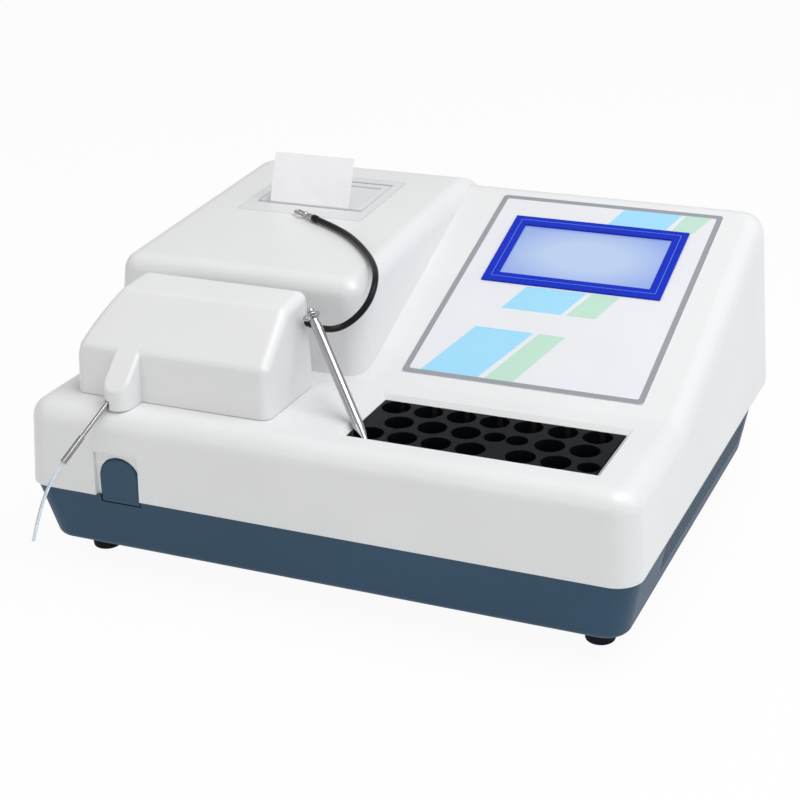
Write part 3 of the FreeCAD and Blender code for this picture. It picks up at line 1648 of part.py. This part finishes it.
nodes = {
    "upper_case": build_upper_case,
    "lower_base": build_lower_base,
    "foot_front_left": lambda: build_foot(0),
    "foot_front_right": lambda: build_foot(1),
    "foot_rear_left": lambda: build_foot(2),
    "foot_rear_right": lambda: build_foot(3),
    "fan_frame": build_fan_frame,
    "fan_rotor": build_fan_rotor,
    "mains_inlet": build_mains_inlet,
    "switch_frame": build_switch_frame,
    "power_switch": build_power_switch,
    "serial_port": build_serial_port,
    "waste_port": build_waste_port,
    "chassis_plate": build_chassis_plate,
    "power_supply": build_power_supply,
    "main_board": build_main_board,
    "pump_bracket": build_pump_bracket,
    "pump_head": build_pump_head,
    "pump_motor": build_pump_motor,
    "pump_rotor": build_pump_rotor,
    "optics_cover": build_optics_cover,
    "optics_well": build_optics_well,
    "flow_cell": build_flow_cell,
    "detector_board": build_detector_board,
    "lamp_house": build_lamp_house,
    "lamp": build_lamp,
    "condenser_lens": build_condenser_lens,
    "wheel_motor": build_wheel_motor,
    "wheel_bracket": build_wheel_bracket,
    "filter_wheel": build_filter_wheel,
    "wheel_filters": build_wheel_filters,
    "probe_holder": build_probe_holder,
    "probe_needle": build_needle,
    "probe_sleeve": build_sleeve,
    "probe_tube": lambda: cord(probe_tube_points(), tube_radius),
    "incubator_block": build_incubator_block,
    "heater_plate": build_heater_plate,
    "incubator_tray": build_incubator_tray,
    "control_panel": build_control_panel,
    "display_bezel": build_display_bezel,
    "display_screen": build_display_screen,
    "display_board": build_display_board,
    "printer_frame": build_printer_frame,
    "print_head": build_print_head,
    "printer_door": build_printer_door,
    "platen_roller": build_platen_roller,
    "platen_shaft": build_platen_shaft,
    "paper_strip": build_paper_strip,
    "paper_roll": build_paper_roll,
    "roll_spindle": build_roll_spindle,
    "aspirate_button": build_aspirate_button,
    "button_bracket": build_button_bracket,
    "micro_switch": build_micro_switch,
    "touch_pen": build_touch_pen,
    "pen_cap": build_pen_cap,
    "pen_ring": build_pen_ring,
    "lanyard_cord": lambda: cord(lanyard_points(), cord_radius),
    "lanyard_ends": build_lanyard_ends,
    "lanyard_clasp": build_lanyard_clasp,
}

if __name__ == "__main__":
    os.makedirs("parts", exist_ok=True)
    for name, build in nodes.items():
        save(name, build())
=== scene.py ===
import bpy
import json
import math
from mathutils import Matrix, Vector


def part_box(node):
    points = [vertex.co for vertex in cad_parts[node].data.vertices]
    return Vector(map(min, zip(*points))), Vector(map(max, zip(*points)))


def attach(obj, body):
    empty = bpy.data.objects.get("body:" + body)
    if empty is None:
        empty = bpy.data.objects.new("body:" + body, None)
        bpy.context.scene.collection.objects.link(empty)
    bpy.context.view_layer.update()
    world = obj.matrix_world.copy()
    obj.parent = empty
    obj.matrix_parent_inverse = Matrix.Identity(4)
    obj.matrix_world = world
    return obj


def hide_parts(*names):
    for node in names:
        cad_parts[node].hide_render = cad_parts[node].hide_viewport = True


# Looks of a benchtop chemistry analyzer: camera, materials, cords, printed graphics, stage and lights.
# Metres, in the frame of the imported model: +X right, +Y to the rear, +Z up.

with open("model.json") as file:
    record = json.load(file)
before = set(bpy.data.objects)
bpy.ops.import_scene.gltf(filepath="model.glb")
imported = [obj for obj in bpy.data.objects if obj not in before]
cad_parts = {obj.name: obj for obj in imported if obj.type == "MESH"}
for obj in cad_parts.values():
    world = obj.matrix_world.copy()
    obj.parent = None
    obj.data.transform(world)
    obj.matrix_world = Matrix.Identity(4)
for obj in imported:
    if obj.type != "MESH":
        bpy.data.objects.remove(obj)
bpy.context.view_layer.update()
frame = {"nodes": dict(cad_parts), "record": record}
nodes = frame["nodes"]
scene = bpy.context.scene

# The model's source counts in millimetres from the left side, the front of the rim and the table
MM = 0.001
HALF_WIDTH = 190.0
FRONT = -147.431

# Sloping panel face, as in the model
SLOPE_START = 104.0
DECK = 106.0
SLOPE = math.radians(18.2)


def place(x, y, z):
    """Point from distances in millimetres to the left side, the front of the rim and the table."""
    return Vector((x - HALF_WIDTH, y + FRONT, z)) * MM


def on_slope(x, s, lift):
    """Point from x, the way s up the slope and the lift off it, in millimetres."""
    y = SLOPE_START + s * math.cos(SLOPE) - lift * math.sin(SLOPE)
    return place(x, y, DECK + s * math.sin(SLOPE) + lift * math.cos(SLOPE))


# Camera: place in millimetres, turns in radians, focus and middle in the photograph's pixels
CAMERA_PLACE = (597.25, -783.48, 509.59)
CAMERA_YAW = 0.4010
CAMERA_PITCH = 0.3783
CAMERA_ROLL = -0.0187
CAMERA_FOCUS = 1758.07
CAMERA_MIDDLE = (428.87, 356.32)
PICTURE = 800
SENSOR = 36.0
NEAREST_SEEN = 0.05
FARTHEST_SEEN = 20


def make_camera():
    """Camera that sees the model as the photograph does."""
    ahead = Vector((-math.sin(CAMERA_YAW) * math.cos(CAMERA_PITCH),
                    math.cos(CAMERA_YAW) * math.cos(CAMERA_PITCH), -math.sin(CAMERA_PITCH)))
    right = ahead.cross(Vector((0, 0, 1))).normalized()
    up = right.cross(ahead)
    c, s = math.cos(CAMERA_ROLL), math.sin(CAMERA_ROLL)
    right, up = c * right + s * up, c * up - s * right
    data = bpy.data.cameras.new("photo_camera")
    data.sensor_width = SENSOR
    data.lens = CAMERA_FOCUS / PICTURE * SENSOR
    data.shift_x = (PICTURE / 2 - CAMERA_MIDDLE[0]) / PICTURE
    data.shift_y = (CAMERA_MIDDLE[1] - PICTURE / 2) / PICTURE
    data.clip_start = NEAREST_SEEN
    data.clip_end = FARTHEST_SEEN
    camera = bpy.data.objects.new("photo_camera", data)
    turn = Matrix((right, up, -ahead)).transposed().to_4x4()
    camera.matrix_world = Matrix.Translation(place(*CAMERA_PLACE)) @ turn
    scene.collection.objects.link(camera)
    scene.camera = camera


make_camera()


# Materials: sockets of the colour mix that go by number, and how deep the bumps are, in metres
MIX_FACTOR = 0
MIX_FIRST = 6
MIX_SECOND = 7
MIX_RESULT = 2
BEVEL_SAMPLES = 4
GRAIN_DEPTH = 0.0003
FINE_DEPTH = 0.0002
CELL_DEPTH = 0.0001


class Tree:
    """The nodes of a material or world, and short calls that add to them."""

    def __init__(self, owner):
        owner.use_nodes = True
        self.nodes = owner.node_tree.nodes
        self.links = owner.node_tree.links

    def add(self, kind, **settings):
        node = self.nodes.new(kind)
        for key, value in settings.items():
            setattr(node, key, value)
        return node

    def give(self, socket, value):
        """Link another node's result to a socket, or set it to a number, a vector or a colour."""
        if isinstance(value, bpy.types.NodeSocket):
            self.links.new(value, socket)
        else:
            socket.default_value = (*value, 1) if socket.type == "RGBA" else value

    def feed(self, node, **inputs):
        """Give a node's inputs by name, with an underscore for each blank."""
        for key, value in inputs.items():
            self.give(node.inputs[key.replace("_", " ")], value)
        return node

    def span(self, value, low=0.0, high=1.0, start=0.3, end=0.7):
        """The value's stretch from start to end, laid over low to high."""
        node = self.feed(self.add("ShaderNodeMapRange"), Value=value, From_Min=start, From_Max=end,
                         To_Min=low, To_Max=high)
        return node.outputs["Result"]

    def combined(self, operation, first, second):
        node = self.add("ShaderNodeMath", operation=operation)
        for socket, value in zip(node.inputs, (first, second)):
            self.give(socket, value)
        return node.outputs[0]


class Finish(Tree):
    """A new material, and the nodes that materials share."""

    def __init__(self, name):
        self.material = bpy.data.materials.new(name)
        super().__init__(self.material)
        self.shader = self.nodes["Principled BSDF"]
        self.where = self.add("ShaderNodeTexCoord").outputs["Object"]

    def noise(self, scale, detail=3.0, stretch=None):
        where = self.where
        if stretch:
            mapping = self.feed(self.add("ShaderNodeMapping"), Vector=where, Scale=stretch)
            where = mapping.outputs["Vector"]
        node = self.feed(self.add("ShaderNodeTexNoise"), Vector=where, Scale=scale, Detail=detail)
        return node.outputs["Fac"]

    def mixed(self, factor, first, second):
        node = self.add("ShaderNodeMix", data_type="RGBA")
        for place_in_node, value in ((MIX_FACTOR, factor), (MIX_FIRST, first), (MIX_SECOND, second)):
            self.give(node.inputs[place_in_node], value)
        return node.outputs[MIX_RESULT]

    def bump(self, height, strength, distance, under=None):
        node = self.feed(self.add("ShaderNodeBump"), Height=height, Strength=strength, Distance=distance)
        if under is not None:
            self.feed(node, Normal=under)
        return node.outputs["Normal"]

    def rounded_edges(self, radius):
        node = self.feed(self.add("ShaderNodeBevel", samples=BEVEL_SAMPLES), Radius=radius)
        return node.outputs["Normal"]

    def done(self, colour, rough, normal=None, **values):
        """Give the shader its values and return the material."""
        self.feed(self.shader, Base_Color=colour, Roughness=rough, **values)
        if normal is not None:
            self.feed(self.shader, Normal=normal)
        return self.material


def shade(colour, share):
    return tuple(c * share for c in colour)


def moulded(name, colour, rough, grain, grain_size=0.0006, edge=0.0004, variety=0.03, coat=0.0,
            shine=0.45):
    """Moulded plastic: fine spark-eroded grain, slight cloudiness, softly rounded edges."""
    tree = Finish(name)
    fine = tree.noise(scale=1 / grain_size, detail=4.0)
    cloud = tree.noise(scale=14.0, detail=2.0)
    normal = tree.bump(fine, grain, GRAIN_DEPTH, under=tree.rounded_edges(edge))
    tint = tree.mixed(tree.span(cloud), shade(colour, 1 - variety), shade(colour, 1 + variety / 2))
    speck = tree.mixed(tree.span(fine, high=0.25), tint, shade(colour, 0.93))
    return tree.done(speck, tree.span(fine, rough - 0.05, rough + 0.06), normal,
                     Specular_IOR_Level=shine, Coat_Weight=coat, Coat_Roughness=0.25)


def metal(name, colour, rough, stretch=(1, 1, 1), scale=900.0, strength=0.06, edge=0.0002):
    """Brushed or machined metal: fine streaks along one direction."""
    tree = Finish(name)
    streak = tree.noise(scale, detail=4.0, stretch=stretch)
    blotch = tree.noise(scale=60.0)
    normal = tree.bump(streak, strength, FINE_DEPTH, under=tree.rounded_edges(edge))
    tint = tree.mixed(tree.span(blotch), shade(colour, 0.9), colour)
    return tree.done(tint, tree.span(streak, rough * 0.75, rough * 1.3), normal, Metallic=1.0)


def clear(name, colour, rough, ior, transmission=1.0):
    """Glass or clear plastic with a faint wave in it."""
    tree = Finish(name)
    wave = tree.noise(scale=120.0, detail=2.0)
    normal = tree.bump(wave, strength=0.03, distance=GRAIN_DEPTH)
    tint = tree.mixed(tree.span(wave), shade(colour, 0.97), colour)
    return tree.done(tint, tree.span(wave, rough, rough + 0.04), normal, IOR=ior,
                     Transmission_Weight=transmission)


def rubber(name, colour, rough, scale=1500.0, shine=0.35):
    """Dull rubber or cord jacket, a little dusty."""
    tree = Finish(name)
    fine = tree.noise(scale)
    dust = tree.noise(scale=45.0, detail=4.0)
    tint = tree.mixed(tree.span(dust, high=0.5), colour, shade(colour, 2.2))
    normal = tree.bump(fine, strength=0.25, distance=GRAIN_DEPTH, under=tree.rounded_edges(0.0004))
    return tree.done(tint, tree.span(fine, rough - 0.06, rough + 0.08), normal,
                     Specular_IOR_Level=shine)


def printed_board(name, colour):
    """Solder mask with fine copper tracks showing through."""
    tree = Finish(name)
    black, white = (0, 0, 0), (1, 1, 1)
    grid = tree.feed(tree.add("ShaderNodeTexBrick"), Vector=tree.where, Scale=180.0, Mortar_Size=0.03,
                     Color1=black, Color2=black, Mortar=white)
    tint = tree.mixed(grid.outputs["Fac"], colour, shade(colour, 1.8))
    normal = tree.bump(tree.noise(scale=700.0), strength=0.1, distance=FINE_DEPTH)
    return tree.done(tint, 0.35, normal, Coat_Weight=0.3)


def paper(name, first=(0.92, 0.92, 0.93), second=(0.95, 0.95, 0.96)):
    """Thermal paper with fibres along the strip."""
    tree = Finish(name)
    fibre = tree.noise(scale=900.0, detail=5.0, stretch=(1, 1, 0.35))
    cloud = tree.noise(scale=70.0)
    tint = tree.mixed(tree.span(cloud), first, second)
    normal = tree.bump(fibre, strength=0.12, distance=FINE_DEPTH)
    return tree.done(tint, tree.span(fibre, 0.5, 0.66), normal, Specular_IOR_Level=0.3)


# The lit display: its light and its glass at the edges and in the middle, and the gaps of the dots
LIT_EDGE = (0.36, 0.50, 0.92)
LIT_MIDDLE = (0.58, 0.73, 0.93)
LIT_GAP = (0.20, 0.32, 0.72)
GLASS_EDGE = (0.10, 0.14, 0.28)
GLASS_MIDDLE = (0.16, 0.20, 0.32)
GLOW_REACH = (1.15, 1.15, 4)
GLOW_END = 0.55
GLOW_STRENGTH = 0.57


def screen(name):
    """Lit display: paler towards its middle, deeper blue at the edges, with a fine dot grid."""
    tree = Finish(name)
    low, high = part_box("display_screen")
    middle = (low + high) / 2
    reach = [half * share for half, share in zip((high - low) / 2, GLOW_REACH)]
    shifted = tree.feed(tree.add("ShaderNodeMapping", vector_type="TEXTURE"), Vector=tree.where,
                        Location=middle, Scale=reach)
    ball = tree.feed(tree.add("ShaderNodeTexGradient", gradient_type="SPHERICAL"),
                     Vector=shifted.outputs["Vector"])
    glow = tree.span(ball.outputs["Fac"], start=0.0, end=GLOW_END)
    cells = tree.noise(scale=2600.0, detail=1.0)
    lit = tree.mixed(tree.span(cells, high=0.10), tree.mixed(glow, LIT_EDGE, LIT_MIDDLE), LIT_GAP)
    normal = tree.bump(cells, strength=0.02, distance=CELL_DEPTH)
    return tree.done(tree.mixed(glow, GLASS_EDGE, GLASS_MIDDLE), 0.12, normal, Emission_Color=lit,
                     Emission_Strength=GLOW_STRENGTH, Coat_Weight=0.5, Coat_Roughness=0.04)


def printed(name, colour, rough=0.36):
    """Ink on polyester film, also used for the painted highlight round the screen: fine orange peel
    under a satin coat.
    """
    tree = Finish(name)
    peel = tree.noise(scale=1100.0)
    cloud = tree.noise(scale=25.0, detail=2.0)
    tint = tree.mixed(tree.span(cloud), shade(colour, 0.98), shade(colour, 1.01))
    normal = tree.bump(peel, strength=0.05, distance=FINE_DEPTH)
    return tree.done(tint, tree.span(peel, rough - 0.04, rough + 0.05), normal,
                     Specular_IOR_Level=0.4)


FINISHES = {
    "case_white": moulded("case_white_finish", (0.80, 0.802, 0.805), rough=0.34, grain=0.07,
                          coat=0.2, shine=0.5),
    "printer_white": moulded("printer_white_finish", (0.72, 0.725, 0.735), rough=0.44, grain=0.12),
    "base_blue": moulded("base_blue_finish", (0.031, 0.077, 0.135), rough=0.48, grain=0.22,
                         grain_size=0.0008, variety=0.08, shine=0.22),
    "button_blue": moulded("button_blue_finish", (0.031, 0.077, 0.130), rough=0.38, grain=0.10,
                           edge=0.0012, variety=0.06, shine=0.25),
    "foot_rubber": rubber("foot_rubber_finish", (0.006, 0.009, 0.013), rough=0.75, shine=0.15),
    "panel_film": printed("panel_film_finish", (0.76, 0.77, 0.80)),
    "bezel_blue": moulded("bezel_blue_finish", (0.004, 0.026, 0.50), rough=0.30, grain=0.03,
                          variety=0.05, shine=0.16),
    "screen_glass": screen("screen_glass_finish"),
    "board_green": printed_board("board_green_finish", (0.01, 0.10, 0.035)),
    "block_black": moulded("block_black_finish", (0.004, 0.005, 0.007), rough=0.42, grain=0.14,
                           grain_size=0.0005, edge=0.0005, variety=0.2, shine=0.08),
    "sheet_steel": metal("sheet_steel_finish", (0.50, 0.51, 0.52), rough=0.36, stretch=(1, 6, 6)),
    "aluminium": metal("aluminium_finish", (0.62, 0.63, 0.64), rough=0.30, stretch=(1, 8, 8)),
    "steel": metal("steel_finish", (0.46, 0.46, 0.47), rough=0.16, stretch=(8, 8, 1), strength=0.03),
    "pen_steel": metal("pen_steel_finish", (0.52, 0.52, 0.53), rough=0.14, stretch=(6, 6, 1),
                       strength=0.03),
    "black_plastic": moulded("black_plastic_finish", (0.013, 0.013, 0.014), rough=0.45, grain=0.20,
                             variety=0.15),
    "grey_plastic": moulded("grey_plastic_finish", (0.27, 0.28, 0.30), rough=0.45, grain=0.16),
    "port_metal": metal("port_metal_finish", (0.55, 0.55, 0.54), rough=0.30),
    "clear_glass": clear("clear_glass_finish", (0.95, 0.97, 0.98), rough=0.02, ior=1.5),
    "filter_glass": clear("filter_glass_finish", (0.35, 0.55, 0.80), rough=0.04, ior=1.52),
    "paper": paper("paper_finish"),
    "platen_rubber": rubber("platen_rubber_finish", (0.03, 0.03, 0.03), rough=0.65),
    "clear_tube": clear("clear_tube_finish", (0.80, 0.87, 0.93), rough=0.18, ior=1.35,
                        transmission=0.55),
    "cord_black": rubber("cord_black_finish", (0.005, 0.005, 0.006), rough=0.30, scale=2600.0,
                         shine=0.22),
}
INKS_AND_PAINTED_HIGHLIGHT = {
    "border": printed("ink_border", (0.30, 0.32, 0.35)),
    "blue": printed("ink_blue", (0.34, 0.68, 0.90)),
    "green": printed("ink_green", (0.50, 0.72, 0.60)),
    # Not ink: the lighter blue painted highlight for the step round the screen
    "edge": printed("painted_step_highlight", (0.10, 0.20, 0.78)),
}


def dress(thing, finish):
    """Give a piece its finish in place of what it came with."""
    thing.data.materials.clear()
    thing.data.materials.append(finish)


for row in frame["record"]["subparts"]:
    dress(nodes[row["node"]], FINISHES[row["material_slot"]])


# Cords, with the route's points from the model's source
CORD_DIAMETER = 0.004
CORD_ROUTE = [
    (-0.03247, -0.06934, 0.14771), (-0.0305, -0.06193, 0.1425), (-0.024, -0.05243, 0.1395),
    (-0.0155, -0.04643, 0.1445), (-0.0085, -0.04043, 0.1537), (-0.008, -0.03043, 0.1635),
    (-0.0175, -0.01043, 0.167), (-0.038, 0.01557, 0.1687), (-0.0615, 0.03757, 0.1702),
    (-0.0845, 0.04957, 0.1712)]
TUBE_DIAMETER = 0.002
TUBE_ROUTE = [
    (-0.14212, -0.17345, 0.08613), (-0.14398, -0.18041, 0.08053), (-0.14605, -0.18814, 0.07153),
    (-0.14753, -0.19364, 0.06113), (-0.14905, -0.19934, 0.04713)]
ROUTE_ORDER = 3
STEPS_PER_POINT = 16
ROUNDNESS = 5


def cord(name, route, diameter, slot, body, node):
    """Round cord along a route, which stands for one of the model's nodes."""
    curve = bpy.data.curves.new(name, "CURVE")
    curve.dimensions = "3D"
    spline = curve.splines.new("NURBS")
    spline.points.add(len(route) - 1)
    for point, co in zip(spline.points, route):
        point.co = (*co, 1)
    spline.order_u = ROUTE_ORDER
    spline.use_endpoint_u = True
    curve.resolution_u = STEPS_PER_POINT
    curve.bevel_depth = diameter / 2
    curve.bevel_resolution = ROUNDNESS
    curve.use_fill_caps = True
    curve.materials.append(FINISHES[slot])
    thing = bpy.data.objects.new(name, curve)
    scene.collection.objects.link(thing)
    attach(thing, body)
    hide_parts(node)
    return thing


lanyard = cord("pen_lanyard", CORD_ROUTE, CORD_DIAMETER, "cord_black", "pen", "lanyard_cord")
sample_tube = cord("sample_tube", TUBE_ROUTE, TUBE_DIAMETER, "clear_tube", "instrument", "probe_tube")


# Thin ink layers, and a painted highlight, on the control panel, in millimetres: x, the way up the slope
# and the lift off it.
# Sides are left, right, low and high.
INK_LOW = 0.46
INK_HIGH = 0.54
CORNER_STEPS = 6
BORDER_SIDES = (198.0, 349.0, 11.5, 202.5)
BORDER_WIDTH = 3.7
BORDER_RADIUS = 2.5
BORDER_INNER_RADIUS = 1.5

# Painted highlight on the bezel's face, round the screen: a lighter blue line standing for light caught
# by the edge of the step
STEP_HIGHLIGHT_SIDES = (219.8, 328.4, 112.2, 175.4)
STEP_HIGHLIGHT_WIDTH = 0.45
STEP_HIGHLIGHT_RADIUS = 0.8
STEP_HIGHLIGHT_INNER_RADIUS = 0.5
STEP_HIGHLIGHT_HALF_HEIGHT = 0.04
BEZEL_TOP = 1.7

# Stripes: ink, band, left and right end of the lower edge, left and right end of the upper edge
BANDS = {"low": (15.2, 61.8), "mid": (82.4, 106.2), "top": (180.0, 198.8)}
STRIPES = (
    ("blue", "low", (209.2, 245.9), (228.1, 265.7)),
    ("green", "low", (250.2, 268.2), (269.1, 286.2)),
    ("blue", "mid", (237.4, 276.5), (246.3, 285.7)),
    ("green", "mid", (279.7, 298.4), (289.4, 307.3)),
    ("blue", "top", (276.9, 315.6), (283.6, 322.4)),
    ("green", "top", (319.7, 334.2), (325.0, 341.9)),
)


def plate(name, points, faces, finish):
    """Closed piece from its points and faces, fixed to the instrument."""
    mesh = bpy.data.meshes.new(name)
    mesh.from_pydata([tuple(p) for p in points], [], faces)
    mesh.validate()
    mesh.materials.append(finish)
    thing = bpy.data.objects.new(name, mesh)
    scene.collection.objects.link(thing)
    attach(thing, "instrument")
    return thing


def layer(name, outline, finish):
    """Flat closed plate on the slope with the given outline."""
    count = len(outline)
    points = [on_slope(x, s, lift) for lift in (INK_LOW, INK_HIGH) for x, s in outline]
    faces = [tuple(reversed(range(count))), tuple(range(count, 2 * count))]
    faces += [(i, (i + 1) % count, (i + 1) % count + count, i + count) for i in range(count)]
    return plate(name, points, faces, finish)


def frame_plate(name, outer, inner, finish, low=INK_LOW, high=INK_HIGH):
    """Closed flat ring between two outlines with the same number of points."""
    count = len(outer)
    points = [on_slope(x, s, lift) for lift in (low, high) for outline in (outer, inner)
              for x, s in outline]
    faces = []
    for i in range(count):
        j = (i + 1) % count
        faces.append((i + count, j + count, j, i))
        faces.append((i + 2 * count, j + 2 * count, j + 3 * count, i + 3 * count))
        faces.append((i, j, j + 2 * count, i + 2 * count))
        faces.append((j + count, i + count, i + 3 * count, j + 3 * count))
    return plate(name, points, faces, finish)


def oblong(left, right, low, high, radius):
    """Outline of a rectangle with rounded corners, from its right upper corner round."""
    outline = []
    for cx, cy, start in ((right - radius, high - radius, 0), (left + radius, high - radius, 90),
                          (left + radius, low + radius, 180), (right - radius, low + radius, 270)):
        for i in range(CORNER_STEPS + 1):
            angle = math.radians(start + 90 * i / CORNER_STEPS)
            outline.append((cx + radius * math.cos(angle), cy + radius * math.sin(angle)))
    return outline


def drawn_in(sides, margin):
    """The sides, each moved inwards by the margin."""
    left, right, low, high = sides
    return left + margin, right - margin, low + margin, high - margin


def print_panel_and_paint_step_highlight():
    """Printed border, painted highlight round the screen, and printed stripes."""
    frame_plate("panel_border", oblong(*BORDER_SIDES, BORDER_RADIUS),
                oblong(*drawn_in(BORDER_SIDES, BORDER_WIDTH), BORDER_INNER_RADIUS), INKS_AND_PAINTED_HIGHLIGHT["border"])
    # The ring round the screen is a painted highlight, not print
    frame_plate("bezel_step_painted_highlight", oblong(*STEP_HIGHLIGHT_SIDES, STEP_HIGHLIGHT_RADIUS),
                oblong(*drawn_in(STEP_HIGHLIGHT_SIDES, STEP_HIGHLIGHT_WIDTH), STEP_HIGHLIGHT_INNER_RADIUS), INKS_AND_PAINTED_HIGHLIGHT["edge"],
                BEZEL_TOP - STEP_HIGHLIGHT_HALF_HEIGHT, BEZEL_TOP + STEP_HIGHLIGHT_HALF_HEIGHT)
    for ink, band, lower, upper in STRIPES:
        bottom, top = BANDS[band]
        outline = [(lower[0], bottom), (lower[1], bottom), (upper[1], top), (upper[0], top)]
        layer(f"stripe_{ink}_{band}", outline, INKS_AND_PAINTED_HIGHLIGHT[ink])


print_panel_and_paint_step_highlight()


# Floor, light and background
WHITE = (1, 1, 1)
FLOOR_REACH = 6.0
FLOOR_GREY = (0.86, 0.86, 0.86)
FLOOR_WHITE_SHARE = 0.94
WORLD_STRENGTH = 0.48
MIDDLE_OF_MODEL = (0, 0, 0.08)


def make_stage():
    """Floor that takes shadows and is lifted nearly to white wherever it is seen."""
    mesh = bpy.data.meshes.new("floor")
    corners = [(-FLOOR_REACH, -FLOOR_REACH, 0), (FLOOR_REACH, -FLOOR_REACH, 0),
               (FLOOR_REACH, FLOOR_REACH, 0), (-FLOOR_REACH, FLOOR_REACH, 0)]
    mesh.from_pydata(corners, [], [(0, 1, 2, 3)])
    floor = bpy.data.objects.new("floor", mesh)
    scene.collection.objects.link(floor)
    tree = Finish("floor_finish")
    tree.done(FLOOR_GREY, 0.6, Specular_IOR_Level=0.2)
    path = tree.add("ShaderNodeLightPath")
    seen = path.outputs["Is Camera Ray"]
    for ray in ("Is Glossy Ray", "Is Transmission Ray"):
        seen = tree.combined("MAXIMUM", seen, path.outputs[ray])
    share = tree.combined("MULTIPLY", seen, FLOOR_WHITE_SHARE)
    white = tree.feed(tree.add("ShaderNodeEmission"), Color=WHITE)
    mix = tree.add("ShaderNodeMixShader")
    for socket, source in zip(mix.inputs, (share, tree.shader.outputs[0], white.outputs[0])):
        tree.give(socket, source)
    tree.feed(tree.nodes["Material Output"], Surface=mix.outputs[0])
    mesh.materials.append(tree.material)


def make_world():
    """Even white light, which the camera sees as full white."""
    world = bpy.data.worlds.new("studio")
    scene.world = world
    tree = Tree(world)
    path = tree.add("ShaderNodeLightPath")
    seen = tree.combined("MAXIMUM", path.outputs["Is Camera Ray"], path.outputs["Is Transmission Ray"])
    tree.feed(tree.nodes["Background"], Color=WHITE,
              Strength=tree.span(seen, low=WORLD_STRENGTH, start=0.0, end=1.0))


def lamp(name, spot, size, power, aim=MIDDLE_OF_MODEL, tint=WHITE):
    """Rectangular area light: place and size in metres, power in watts."""
    data = bpy.data.lights.new(name, "AREA")
    data.shape = "RECTANGLE"
    data.size, data.size_y = size
    data.energy = power
    data.color = tint
    light = bpy.data.objects.new(name, data)
    light.location = spot
    light.rotation_euler = (Vector(spot) - Vector(aim)).to_track_quat("Z", "Y").to_euler()
    scene.collection.objects.link(light)


make_stage()
make_world()
lamp("key_light", spot=(0.55, -0.15, 1.4), size=(1.0, 1.0), power=13, aim=(0.05, 0, 0.12))
lamp("side_light", spot=(1.5, 0.2, 0.9), size=(1.0, 1.2), power=3.5, tint=(0.80, 0.91, 1.0))
lamp("front_light", spot=(-0.5, -1.7, 0.7), size=(1.4, 0.8), power=3.4)
scene.view_settings.view_transform = "Standard"
